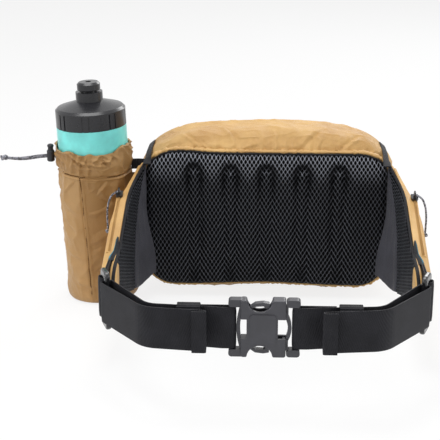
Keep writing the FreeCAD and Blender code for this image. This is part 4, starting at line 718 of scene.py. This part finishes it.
edge_roll("panel_binding_roll", (127.4, 74.0, 29.4), lambda path: 0.25 * swell(path, 7, 21), 0.9, (8.4, 2.2),
          grosgrain, "black_binding", "back_panel_binding")
edge_roll("panel_piping", (129.6, 75.8, 31),
          lambda path: 1.1 * np.abs(swell(path, 8, 22)) + 0.5 * swell(path, 3.5, 23), 1.6, (11.2, 2.6),
          tan_bright, "tan_cloth")
print("binding and piping")

# %% [markdown]
# ## Main compartment
# The bag is a loaf. Its section is a rounded rectangle that shrinks toward the sides by powers of 1 - cos(turn):
# the square for its depth and foot, 1.2 for its top, the same rule as its CAD loft. Each point of that smooth
# loaf then moves along its own normal: out where the bag is full, in along seams, with drag lines that run down
# and outward from the top. The empty top settles a little in its middle.


# %% Section of the bag
BAG_HALF, BAG_NEAR, BAG_FAR, BAG_HIGH, BAG_ROUND = 134.0, 11.0, 95.0, 183.0, 30.0


def bag_section(x):
    """Near, far, low, high and corner radius of the bag at a distance from its centre line."""
    fall = 1 - np.sqrt(np.clip(1 - (x / BAG_HALF) ** 2, 0, 1))
    square = fall ** 2
    return (BAG_NEAR + 14 * square, BAG_FAR - 27 * square, 34 * square, BAG_HIGH - 49 * fall ** 1.2,
            BAG_ROUND - 15 * fall)


def round_loop(share, near, far, low, high, radius):
    """The point at a share of the way round a rounded rectangle in YZ, from the near foot upward: a square loop
    first, a quarter of the shares to each side, then its corners are rounded."""
    half_y, half_z = (far - near) / 2, (high - low) / 2
    walk = np.mod(share * 4, 4)
    leg = np.floor(walk)
    part = (walk - leg) * 2 - 1
    one = np.ones_like(part)
    y = np.select([leg == 0, leg == 1, leg == 2], [-one, part, one], -part)
    z = np.select([leg == 0, leg == 1, leg == 2], [part, one, -part], -one)
    flat_y, flat_z = round_corners(y * half_y, z * half_z, half_y, half_z, radius)
    return (near + far) / 2 + flat_y, (low + high) / 2 + flat_z


print("near, far, low, high and corner at 80 mm:", [round(float(size), 1) for size in bag_section(80)])

# %% Main compartment
share, across = np.linspace(0, 1, 420), np.linspace(-1, 1, 190)
x_line = BAG_HALF * np.sin(across * np.pi / 2) * 0.35 + BAG_HALF * across * 0.65
share_grid, x = net(share, x_line)
near, far, low, high, radius = bag_section(x)
y, z = round_loop(share_grid, near, far, low, high, radius)
bag = pile(x, y, z)
way_out = unit(np.cross(np.gradient(bag, axis=0), np.gradient(bag, axis=1)))
way_out *= np.sign(np.sum(way_out * (bag - (0, 50, 90)), axis=-1, keepdims=True))
near_seam = bell(np.hypot(y - 11, np.clip(158 - z, 0, None)), 9) * smooth(120, 150, z)
leaning = pile(x + 0.9 * y * np.sign(x), y * 0.35, z * 0.5)
lift = 1.1 * swell(bag, 62, 31) + 1.3 * creases(leaning, 40, 32, 3) + 0.7 * creases(bag, 15, 33, 3) - 0.9
lift += near_seam * 1.3 * swell(pile(x, 0, 0), 7, 34)
# drag lines on the top, from (across, back from the near edge) to (across, back), with their height and width
over = np.clip(y - near, 0, None) + np.clip(high - z, 0, None) * -0.35
on_top = smooth(140, 158, z) * smooth(84, 70, y)
for foot, head, tall, broad in (
        ((-28, -6), (-52, 40), 1.6, 2.6), ((-24, -6), (-36, 16), 1.0, 1.6), ((-64, -8), (-92, 24), 1.4, 2.2),
        ((-58, -8), (-72, 8), 0.9, 1.5), ((34, -6), (66, 34), 1.2, 3.2), ((12, -6), (8, 22), 0.9, 1.8),
        ((74, -8), (100, 20), -1.3, 2.4), ((96, -10), (112, 6), -1.0, 1.8), ((-96, -10), (-110, 6), 1.0, 2.0),
        ((-6, -6), (-14, 20), 0.8, 1.7), ((52, -8), (60, 10), 0.9, 1.6)):
    lift += on_top * drag_line(x, over, foot, head, tall, broad)
# calm cloth under the main zip, where it is also pressed in, and under the front pocket
zip_flat = smooth(16, 8, np.abs((y - 79.1) - (z - 167.1))) * smooth(58, 70, y) * smooth(146, 158, z)
lift = lift * (1 - zip_flat) * (1 - 0.85 * smooth(88, 93, y) * (np.abs(x) < 84) * (z < 132))
lift -= 1.4 * zip_flat * (np.abs(x) < 96)
x, y, z = np.moveaxis(bag + way_out * (0.3 + lift[..., None]), -1, 0)
z = z + smooth(150, 176, z) * smooth(74, 58, y) * (3.2 * bell(x - 106, 15) - 3.3 * bell(x + 18, 72))
z = np.maximum(z + 3.4 * smooth(80, 44, y) * smooth(14, 0, z) * bell(x, 54), 0.0)
y = np.maximum(y, 10.4)
push = np.clip(y + z - 246.3, 0, None) / 2
bag = pile(x, y - push, z - push)


def side_cap(rim_line, bulge):
    """Rings that close the bag's side: each is a share k of the rim, moved out by bulge (1 - k^2)."""
    heart = rim_line.mean(axis=0)
    return np.stack([heart + (rim_line - heart) * k + np.array((bulge, 0, 0)) * (1 - k * k)
                     for k in (0.93, 0.7, 0.35, 0.0)], 1)


bag = np.concatenate([side_cap(bag[:, 0], -1.6)[:, ::-1], bag, side_cap(bag[:, -1], 1.6)], axis=1)
compartment = skin("main_compartment_cloth", bag, pile(bag[..., 0], (share * 530)[:, None]), tan_bright, "tan_cloth",
                   "main_compartment")
print("main compartment:", len(compartment.data.polygons), "faces")


# %% [markdown]
# ## Front pocket and the zips
# The pocket on the far side is a shallow pillow with steep sides. A coil zip is one flattened spiral of
# filament on two tapes: the spiral's turns are what reads as teeth.


# %% Front pocket
def dense_ends(count, half):
    """Values from -half to half that crowd toward both ends."""
    line = np.linspace(-1, 1, count)
    return half * (0.55 * line + 0.45 * np.sin(line * np.pi / 2))


x, z, edge = pillow_grid(dense_ends(150, 53), dense_ends(210, 80), 20)
z = z + 75
drag = 0.8 * swell(pile(x, 0, z), 40, 41) + 0.9 * creases(pile(x, 0, z) * (1, 1, 0.45), 30, 42, 3)
y = 94.2 + (17.6 + drag * smooth(0, 14, edge)) * steep(edge, 8)
pocket = closed_pair("front_pocket_cloth", pile(x, y, z), pile(x, 94.0, z), pile(x, z), tan_bright, "tan_cloth",
                     "front_pocket")
print("front pocket:", len(pocket.data.polygons), "faces")


# %% Coil zips
def turned(points, angle, axis):
    """Points turned about one axis of the frame by an angle in degrees."""
    a, b = [(1, 2), (2, 0), (0, 1)][axis]
    c, s = math.cos(math.radians(angle)), math.sin(math.radians(angle))
    out = np.array(points, dtype=float)
    out[..., a] = points[..., a] * c - points[..., b] * s
    out[..., b] = points[..., a] * s + points[..., b] * c
    return out


def coil_zip(name, cad_node, length, stand_at, half=4.0, cloth=zip_tape_cloth, filament=slider_coated):
    """Two tapes with a slight ripple, and a flattened spiral (p t, w cos t, h sin t) along their middle."""
    u, v = net(np.linspace(0, length, int(length)), np.linspace(-half, half, 9))
    ripple = 0.25 * swell(pile(u, v, 0), 12, 51) * np.abs(v) / half
    closed_pair(name, stand_at(pile(u, v, 0.9 + ripple)), stand_at(pile(u, v, 0.1)), pile(u, v), cloth, "zip_tape",
                cad_node)
    pitch = 1.25
    turn = np.arange(0, (length - 3) / pitch * 2 * np.pi, 2 * np.pi / 10)
    line = pile(1.5 + turn / (2 * np.pi) * pitch, 1.15 * np.cos(turn), 1.45 + 0.45 * np.sin(turn))
    way = unit(np.gradient(line, axis=0))
    side = unit(np.cross(way, (1, 0.2, 0.1)))
    angle = circle(6)
    grid = with_poles(line, beside(line, side, np.cross(way, side), 0.27 * np.cos(angle), 0.27 * np.sin(angle)))
    skin(name + "_coil", stand_at(grid), grid[..., :2], filament, "zip_tape")


coil_zip("main_zip_tapes", "main_zip_tape", 176, lambda p: turned(p, -45, 0) + (-88, 79.142, 167.142))
coil_zip("front_zip_tapes", "front_zip_tape", 124, lambda p: p + (-62, 100.4, 128))
slope = math.degrees(math.atan2(36, 116))
for side, sign in SIDES:
    coil_zip(f"wing_zip_tapes_{side}", f"wing_zip_tape_{side}", 104,
             lambda p, sign=sign: (turned(turned(p, slope, 1), -90, 2) + (149.5, -36, 128.83)) * (sign, 1, 1),
             2.7, tan_bright, tan_bright)
print("four zips")

# %% [markdown]
# ## Hip wings
# Each wing grows out of the gap between panel and bag and bends round the hip. In plan it follows one bent line,
# and everything on it is measured from there, in distances outward. On the face that lies on the wearer are the
# mesh pad and, at the root, a smooth panel. Outside them a tan shell covers the whole wing and laps round its
# front end, and the zipped pocket stands on the shell, with a dark mouth and the lining's bright edge on its top.
# A point is (distance forward, share of the height), so edges follow the wing's outline by themselves.

# %% Wing lines
FRONT, ROOT_SEAM, POUCH_FRONT = -186, -33, -172
plan = rounded([(126.2, 4, 0), (138.5, -40, 0), (138.5, FRONT, 0)], [120], 1.0)
top_line = rounded([(0, 8, 150), (0, -60, 121), (0, -128, 99), (0, FRONT, 95), (0, FRONT, 66)], [80, 100, 24], 0.7)
foot_line = rounded([(0, 8, 9), (0, -40, 23), (0, -85, 37), (0, FRONT, 33), (0, FRONT, 66)], [60, 60, 24], 0.7)
pouch_top = rounded([(0, -4, 148), (0, -34, 131.5), (0, -145, 96), (0, POUCH_FRONT, 88), (0, POUCH_FRONT, 64)],
                    [60, 80, 20], 0.7)
pouch_foot = rounded([(0, -4, 40), (0, -34, 31), (0, -85, 40), (0, POUCH_FRONT, 40), (0, POUCH_FRONT, 64)],
                     [40, 60, 20], 0.7)


def height_at(line, y):
    """Height of a side line at each distance forward."""
    keep = line[:, 1] > line[:, 1].min() + 0.02
    return np.interp(-y, -line[keep, 1], line[keep, 2])


def on_wing(y, z, out, sign):
    """A point on the wing: the plan line at y, moved outward along the plan's own normal."""
    along = -plan[:, 1]
    x = np.interp(-y, along, plan[:, 0])
    lean = np.interp(-y, along, np.gradient(plan[:, 0], along))
    size = np.sqrt(1 + lean ** 2)
    return pile(sign * (x + out / size), y + out * lean / size, z)


def split_y(share):
    """Where the smooth root panel ends, from its low tip to its top."""
    return ROOT_SEAM + 36 * share ** 3


def wing_sheet(y_start, y_end, rows, columns, low_line=foot_line, high_line=top_line, shares=(0, 1)):
    """Grids of y, z, v and the distance from the edge, between two ends and two side lines, denser at all four."""
    u, v = net(*((0.5 - 0.5 * np.cos(np.linspace(0, np.pi, count))) * 0.6 + np.linspace(0, 1, count) * 0.4
                 for count in (rows, columns)))
    start, end = (line(v) if callable(line) else line + 0 * v for line in (y_start, y_end))
    y = start + (end - start) * u
    low, high = height_at(low_line, y), height_at(high_line, y)
    z = low + (high - low) * (shares[0] + (shares[1] - shares[0]) * v)
    return y, z, v, np.minimum.reduce([z - low, high - z, np.abs(y - start), np.abs(y - end)])


def wing_piece(arm, name, y, z, inner, outer, material, slot, *nodes, shift=(0, 0, 0), fill=None):
    """A closed piece of one wing, given as (side, sign), between two distances out from the plan line."""
    front, back = (on_wing(y, z, out, arm[1]) + shift for out in (inner, outer))
    closed_pair(f"{name}_{arm[0]}", front, back, pile(y, z), material, slot, *nodes, fill=fill)


print("plan line", len(plan), "points")

# %% Wings
for arm in SIDES:
    side, sign = arm
    # spacer mesh on the face that lies on the wearer
    y, z, v, edge = wing_sheet(lambda v: split_y(v) - 0.2, FRONT, 170, 110)
    roll = steep(edge, 3, 2)
    uneven = 0.5 * swell(pile(y, z, 0), 40, 61)
    wing_piece(arm, "wing_pad_mesh", y, z, 2.0 - (2.0 + uneven) * roll, 2.2 + roll, wing_mesh, "spacer_mesh",
               f"wing_mesh_pad_{side}", fill=0.6)
    # smooth grey panel at the root, drawn in over the panel's lower corner
    y, z, v, edge = wing_sheet(4, split_y, 60, 110)
    root = smooth(-26, 4, y)
    z = z + 17 * root * (1 - v) ** 2
    drawn = root * smooth(104, 34, z)
    fold = 0.5 * creases(pile(y, z, 0) * (1.3, 0.35, 1), 26, 62, 3) - 0.3
    roll = steep(edge, 3, 2)
    wing_piece(arm, "wing_root_panel", y, z, 1.8 - (2.2 + fold) * roll, 2.4 + 0.8 * roll, grey_nylon,
               "grey_cloth", f"wing_panel_{side}", shift=pile(-sign * 9.5 * drawn, -3.4 * drawn, 0), fill=0.5)
    # tan outer shell of the wing, from its root to the belt ring
    y, z, v, edge = wing_sheet(3.4, FRONT + 0.6, 150, 90)
    z = z + 17 * smooth(-26, 4, y) * (1 - v) ** 2 + 0.9 * smooth(0.9, 1, v)
    puff = 0.5 * swell(pile(y, z, 0), 26, 66)
    wing_piece(arm, "wing_shell_cloth", y, z, 3.3, 3.6 + (2.4 + puff) * steep(edge, 3, 2), tan_bright, "tan_cloth")
    # the shell laps round the wing's front end on to the face that lies on the wearer
    y, z, v, edge = wing_sheet(lambda v: -158 + 9 * (v - 0.5) ** 2, FRONT + 0.2, 50, 60, shares=(0.03, 0.985))
    lap = 0.6 - 1.75 * smooth(0, 3, edge) + 0.2 * swell(pile(y, z, 0), 14, 67)
    wing_piece(arm, "wing_front_lap", y, z, lap, 0.9, tan_bright, "tan_cloth")
    # zipped pocket on the outside, thin at the root, deeper where the tab's webbing passes under it
    y, z, v, edge = wing_sheet(-4, POUCH_FRONT, 200, 120, pouch_foot, pouch_top)
    pull_in = 0.9 * swell(pile(y, z, 0), 34, 63) + 1.3 * creases(pile(y, z, 0) * (0.6, 1.1, 1), 30, 64, 3) - 0.6
    full = 9.6 * smooth(4, -92, y) + pull_in * smooth(2, 16, edge) * smooth(-10, -50, y)
    slot_room = smooth(-148, -153, y) * smooth(58, 62, z) * smooth(102, 98, z)
    wing_piece(arm, "wing_pocket_cloth", y, z, 3.5 + 6.5 * slot_room, 3.6 + (2.8 + full) * steep(edge, 5),
               tan_bright, "tan_cloth", f"wing_pocket_{side}")
    # the pocket's inner mouth: a dark slot in the gusset with the lining's bright edge beside it, both narrow
    # where the slider stops and wider past it
    u, w = net(np.linspace(0, 1, 40), np.linspace(-1, 1, 9))
    y = -112 - 44 * u
    past = smooth(0.42, 0.85, u)
    for part, finish, slot, centre, half, rise, meet in (
            ("mouth", grosgrain, "black_binding", 4.5 + 1.9 * past, 1.9 + 0.4 * past, 0.6, 0.5),
            ("lining", lining_blue, "tan_cloth", 6.5 + 2.3 * past, 0.32 + 0.38 * past, 0.8, -0.9)):
        out = centre + meet * (1 - smooth(0, 0.5, u)) + half * steep(u, 1 / 3, 2) * w
        top = np.maximum(height_at(pouch_top, y), height_at(top_line, y) + 0.9) + rise - 0.35 * w ** 2
        front, back = (on_wing(y, height, out, sign) for height in (top, top - 1.4))
        closed_pair(f"wing_pocket_{part}_{side}", front, back, pile(y, out), finish, slot)
print("two wings: mesh pad, root panel, shell, lap, pocket, mouth and lining on each")

# %% Binding tape round the wings
line = np.concatenate([top_line[top_line[:, 1] < 1], foot_line[foot_line[:, 1] < -38][::-1]])
line = line[np.concatenate([[True], np.linalg.norm(np.diff(line, axis=0), axis=1) > 0.2])]
angle = circle(13)
wide, deep = (half * np.sign(part) * np.abs(part) ** 0.6
              for half, part in ((1.0, np.cos(angle)), (1.7, np.sin(angle))))
for side, sign in SIDES:
    path = on_wing(line[:, 1], line[:, 2], 2.0, sign)
    normal = unit(on_wing(line[:, 1], line[:, 2], 3.0, sign) - path)
    grid = with_poles(path, beside(path, unit(np.cross(unit(np.gradient(path, axis=0)), normal)), normal, wide, deep))
    along = np.pad(run_length(path), 1, mode="edge")
    skin(f"wing_binding_{side}", grid, pile(*net(along, angle)), grosgrain, "black_binding")
print("wing bindings")

# %% [markdown]
# ## Webbing
# Every strap is the same idea: a path seen in plan, thickened by its own normals, as tall as the webbing is
# wide. A belt strap is one piece of webbing that goes from its sewn return, round the buckle's bar, back to the
# ring, round the ring's bar, forward again, and ends in a rolled hem. The right strap and its keeper get their own
# copies of their meshes.


# %% Straps
BELT_LOW, BELT_HIGH, BELT_Y = 61, 99, -265.0


def webbing(name, path, depth, low, high, material, *nodes, upright=(0, 0, 1), across_count=9):
    """Closed strip: path + n d/2 and path - n d/2, for heights from low to high along upright, thin at its edges."""
    upright = np.broadcast_to(np.array(upright, dtype=float), path.shape)
    normal = unit(np.cross(unit(np.gradient(path, axis=0)), upright))
    along, up = net(run_length(path), np.linspace(low, high, across_count))
    thin = np.ones(across_count)
    thin[[0, -1]] = 0.55
    front, back = (beside(path, upright, normal, up, face * thin * depth / 2) for face in (1, -1))
    return closed_pair(name, front, back, pile(along, up), material, "webbing", *nodes, sharp=60)


def belt_path(bar_x):
    """Plan of one belt strap, from the sewn return to the hem at its tail."""
    small, ring, tail = 2.8, np.array((141.27, -213.10, 0)), (104, -269, 0)
    way = unit(tail - ring)
    outer = np.array((-way[1], way[0], 0))
    first, second = ring - outer * 5.6 - way * 4.3, ring + outer * 5.6 - way * 4.3
    turn_x = bar_x - small - 0.3
    corners = [(bar_x + 34, BELT_Y + small, 0), (turn_x, BELT_Y + small, 0), (turn_x, BELT_Y - small, 0),
               (bar_x + 9, BELT_Y - small, 0), (bar_x + 20, BELT_Y - 0.9, 0), (101.5, -261, 0), first, second, tail,
               (50, -275.5, 0), (50, -278.7, 0), (62, -278.5, 0)]
    return rounded(corners, [2.74, 2.74, 12, 30, 18.2, 3.36, 3.36, 26, 1.52, 1.52], 0.8)


straps = {side: webbing(f"belt_strap_webbing_{side}", belt_path(bar_x) * (sign, 1, 1), 1.6, BELT_LOW, BELT_HIGH,
                        belt_web, f"belt_strap_{side}") for (side, sign), bar_x in zip(SIDES, (27.2, 28.0))}
slack = [straps["right"]]
for side, sign in SIDES:
    # elastic sleeve, once round the strap's inner runs
    low, high = (np.array(corner) * 1000 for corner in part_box(f"belt_keeper_{side}"))
    middle, half = (low + high) / 2, (high - low) / 2
    loop = outline(half[2] - 0.7, half[1] - 0.7, 2.2, 0, 0.8)
    path = pile(low[0], middle[1] + loop[:, 2], middle[2] + loop[:, 0])
    path[-1] = path[0]
    lanes = np.array((0, 0.02, 0.5, 0.98, 1, 1, 0.98, 0.5, 0.02, 0, 0)) * (high[0] - low[0])
    thick = np.array((0.3, 0.7, 0.7, 0.7, 0.3, -0.3, -0.7, -0.7, -0.7, -0.3, 0.3))
    grid = beside(path, (1, 0, 0), unit(np.cross(loop_way(path), (1, 0, 0))), lanes, thick)
    keeper = skin(f"belt_keeper_elastic_{side}", grid, pile(*net(run_length(path), lanes)), narrow_web, "webbing",
                  f"belt_keeper_{side}", sharp=50)
    if side == "right":
        slack.append(keeper)
    # loop of webbing that holds the ring to the wing
    corners = [(145.6, -150.3, 0), (145.6, -193, 0), (141.9, -196.5, 0), (141.9, -203.6, 0), (150.9, -203.6, 0),
               (150.9, -196.5, 0), (147.3, -193, 0), (147.3, -150.3, 0)]
    webbing(f"wing_tab_webbing_{side}", rounded(corners, [4, 3, 4.4, 4.4, 3, 4], 0.8) * (sign, 1, 1), 1.5, BELT_LOW,
            BELT_HIGH, belt_web, f"wing_tab_{side}")
    # compression strap over the bag's shoulder
    path = rounded([(0, -5, 149.5), (0, 6, 152.6), (0, 30, 156.4), (0, 64, 155.6), (0, 84, 147), (0, 89.33, 132),
                    (0, 89.33, 109.2)], [14, 30, 30, 14, 8], 0.8)
    tilt = 0.72 * smooth(-2, 14, path[:, 1]) * smooth(126, 144, path[:, 2])
    webbing(f"shoulder_strap_webbing_{side}", path + (125 * sign, 0, 0), 1.4, -4, 4, narrow_web,
            f"shoulder_strap_{side}", upright=pile(np.cos(tilt), 0, -sign * np.sin(tilt)), across_count=7)
for soft in slack:
    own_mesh(soft)
print("belt straps, keepers, tabs and compression straps")

# %% [markdown]
# ## Bottle pocket
# The pocket is a cloth tube on a leaning line, gathered at its hem by the draw cord. Its radius follows the
# bottle and is then uneven: long soft folds down its length, tight gathers in the hem that fade below the seam,
# drag lines that run from the seams, and a rim that rises and falls round the bottle. The hem's own seam sits
# lower in front and toward the bag, and a side seam down the front divides the cloth, which is painted paler on
# one side of it as light from the left.


# %% Section of the bottle pocket
LEAN, POCKET_X, POCKET_Y, POCKET_Z = math.radians(2.4), -176, 10, 3.4
FRONT_TURN = 1.5 * np.pi
count_turn, count_up = 260, 300


def hem_seam(angle):
    """How far up the pocket its hem seam is sewn at each angle: lower in front and toward the bag."""
    return 139 - 2.1 * bell(angle - FRONT_TURN + 0.2, 0.9) - 3.9 * np.cos(angle)


def side_seam(height):
    """The angle of the side seam, which drifts a little toward the back as it rises."""
    return FRONT_TURN - 0.2 - 0.0006 * height


turn = circle(count_turn)
# half section as (radius, height), up the outside, over the rim and down the inside
profile = [(0, -3.2), (30, -3.2), (36, -2.6), (38.2, 0.5), (39.2, 5), (39.3, 20), (39.3, 60), (39.3, 100),
           (39.2, 132), (38.6, 140), (38.8, 141.2), (39.6, 145), (40.3, 152), (40.0, 159), (39.2, 164),
           (38.4, 165.4), (37.7, 164.2), (37.5, 158), (37.5, 141), (37.4, 60), (37.4, 4), (36.6, 1.6), (30, -0.4),
           (0, -0.4)]
section = rounded([(a, 0, b) for a, b in profile], [0.3] * (len(profile) - 2), 1.2)
along = run_length(section)
# rows crowd on the outside above 122, where the gathers are
busy = 1 + 2.6 * (np.arange(len(along)) < np.argmax(section[:, 2])) * (section[:, 2] > 122)
picks = np.interp(np.linspace(0, 1, count_up), np.cumsum(busy) / busy.sum(), along)
radius, up = (np.interp(picks, along, section[:, k]) for k in (0, 2))
outer_rows = np.argmax(up)
height, angle = net(up, turn)
ring_spot = pile(40 * np.cos(angle), 40 * np.sin(angle), height)
print("pocket section:", round(along[-1]), "mm from foot to floor, over the rim")

# %% Folds and gathers of the bottle pocket
above = height - hem_seam(angle)
in_hem = smooth(0, 4, above)
body_share = smooth(-3, 16, height) * (1 - in_hem)
folds = 1.3 * swell(ring_spot * (1, 1, 0.3), 46, 81) + 1.7 * creases(ring_spot * (1, 1, 0.5), 36, 82, 4) - 1.2
folds += 0.8 * creases(ring_spot * (1, 1, 1.3), 24, 86, 4)
gathers = creases(ring_spot * (1, 1, 0.22), 17, 83, 1.5)
crumple = creases(ring_spot, 15, 87, 2.5) - 0.4
shift = body_share * folds + in_hem * (2.2 * gathers - 1.2 + (1.2 + 1.6 * smooth(148, 160, height)) * crumple)
shift += 1.5 * bell(above + 9, 9) * (1 - in_hem) * (gathers - 0.45)
shift -= 1.5 * bell(above, 0.9) - 0.9 * bell(above + 2.2, 1.0)
# drag lines on the body and then on the hem, from (round, up) to (round, up), with their height and width
arc = (angle - FRONT_TURN) * 39
for where, lines in (
        (body_share, (((-52, 126), (-12, 92), 1.5, 4.5), ((-46, 98), (-12, 74), 1.1, 3.5),
                      ((-50, 60), (-12, 44), 1.2, 4), ((-8, 98), (34, 112), -1.2, 4), ((-6, 62), (30, 78), 1.1, 4.5),
                      ((-24, 20), (12, 12), 1.3, 3.5), ((-30, 120), (-16, 134), 1.0, 2),
                      ((4, 118), (20, 134), -1.0, 2.2))),
        (in_hem, (((-20, 160), (6, 148), 1.6, 2.4), ((-6, 158), (2, 146), -1.4, 1.8),
                  ((14, 160), (24, 148), 1.5, 2.2), ((26, 160), (20, 150), -1.3, 2.0),
                  ((-46, 160), (-30, 148), 1.5, 2.4), ((2, 152), (22, 146), 1.0, 1.8)))):
    for start, end, tall, broad in lines:
        shift += where * drag_line(arc, height, start, end, tall, broad)
print("folds move the pocket by", [round(float(move), 1) for move in (shift.min(), shift.max())], "mm")

# %% Cloth of the bottle pocket
past_seam = angle - side_seam(height)
shift -= body_share * (1.5 * bell(past_seam, 0.03) - 0.7 * bell(past_seam - 0.075, 0.035))
around = radius[:, None] + np.where((np.arange(count_up) < outer_rows)[:, None], shift, 0)
rim_wave = 1.1 * swell(ring_spot * (1, 1, 0), 11, 88) + 2.2 * swell(ring_spot * (1, 1, 0), 34, 84)
rim_wave += 4.2 * bell(angle - 1.83 * np.pi, 0.34) - 5.0 * bell(angle - 1.6 * np.pi, 0.5)
raised = height + rim_wave * smooth(143, 164, height)
x_off = around * np.cos(angle)
pouch = pile(POCKET_X + x_off * math.cos(LEAN) - raised * math.sin(LEAN), POCKET_Y + around * np.sin(angle),
             np.maximum(POCKET_Z + raised * math.cos(LEAN) + x_off * math.sin(LEAN), 0.0))
# painted light from the left: paler between the side seam and the bag, and in between on the hem
pale = smooth(0.01, -0.01, past_seam) * smooth(0.5 * np.pi - 0.01, 0.5 * np.pi + 0.01, angle)
made = skin("bottle_pocket_cloth", pouch, pile(*net(picks, turn * 39)), tan_deep, "tan_cloth", "bottle_pocket",
            "pocket_hem", marks={"painted_side_light": 0.12 + 0.8 * pale * (1 - in_hem) + 0.3 * in_hem})
print("bottle pocket:", len(made.data.polygons), "faces")


# %% Stitches
def stitches(name, path, normal, pitch=2.4, length=2.2, thickness=0.5):
    """A row of dark brown thread, close and dark enough to paint the shade in the seam's fold too: one small
    six-sided bead per stitch, as (path + along a + across b + up c).
    """
    along = run_length(path)
    centres = np.arange(pitch / 2, along[-1], pitch)

    def read(lines, places):
        """The line's points at these distances along the path."""
        return pile(*(np.interp(places, along, lines[:, k]) for k in range(3)))

    lift, way = read(normal, centres), unit(read(path, centres + 0.3) - read(path, centres - 0.3))
    side = unit(np.cross(way, lift))
    lengths = np.array((-0.5, -0.32, 0.32, 0.5)) * length
    fat = np.array((0.15, 1, 1, 0.15)) * thickness
    angle = np.linspace(0, 2 * np.pi, 6, endpoint=False)
    spots = (read(path, centres)[:, None, None] + way[:, None, None] * lengths[None, :, None, None]
             + side[:, None, None] * (fat[:, None] * np.cos(angle))[None, :, :, None]
             + lift[:, None, None] * (fat[:, None] * np.sin(angle))[None, :, :, None]).reshape(-1, 3)
    bead = np.arange(24).reshape(4, 6)
    ahead = np.roll(bead, -1, 1)
    lids = np.array([[0, 1, 2, 3], [0, 3, 4, 5], [18, 21, 20, 19], [18, 23, 22, 21]])
    faces = np.concatenate([pile(bead[:-1], ahead[:-1], ahead[1:], bead[1:]).reshape(-1, 4), lids])
    faces = (faces[None] + (np.arange(len(centres)) * 24)[:, None, None]).reshape(-1, 4)
    write_mesh(name, spots, faces, spots[:, :2], thread_and_seam_shade, "tan_cloth")
    print(name, len(centres))


def pocket_line(ups, angles, lift_by=0.3):
    """Points just off the pocket's outer face, read between the corners of its own grid, and the way out."""
    row = np.interp(ups, up[:outer_rows], np.arange(outer_rows))
    column = np.mod(angles, 2 * np.pi) / (2 * np.pi) * (count_turn - 1)
    low_row, low_column = row.astype(int), np.minimum(column.astype(int), count_turn - 2)
    part_row, part_column = (row - low_row)[:, None], (column - low_column)[:, None]
    lower, upper = (pouch[k, low_column] * (1 - part_column) + pouch[k, low_column + 1] * part_column
                    for k in (low_row, low_row + 1))
    out = pile(np.cos(angles), np.sin(angles), 0)
    return lower * (1 - part_row) + upper * part_row + out * lift_by, out


# the stitches sit close and dark, so that each row also paints the shade of its seam's fold
ups, angles = np.linspace(8, 138, 160), circle(300)
stitches("pocket_side_stitches", *pocket_line(ups, side_seam(ups)))
stitches("pocket_hem_stitches", *pocket_line(hem_seam(angles), angles))

# %% The tab and the fin that hold the pocket to the bag
path = rounded([(-143.6, 18, 143.3), (-136, 18, 143.6), (-126, 18, 143.2), (-120.5, 18, 143.2)], [12, 12], 0.8)
webbing("pocket_tab_webbing", path, 2.0, -5.4, 5.4, narrow_web, "pocket_tab", upright=(0, 0.4, 0.92), across_count=7)
v, u = net(np.linspace(34, 132, 60), np.linspace(0, 1, 12))
left_x = POCKET_X - v * math.sin(LEAN) + 36.5
fin_x = left_x + (-126.5 - left_x) * u
sag = 0.7 * swell(pile(fin_x, 0, v), 22, 91)
# the fin carries no mark of painted light, so its tan stays at the darker, shaded end
closed_pair("pocket_seam_cloth", pile(fin_x, 24.2 + sag, v), pile(fin_x, 25.8 + sag, v), pile(fin_x, v), tan_deep,
            "tan_cloth", "pocket_seam")
print("tab and fin")
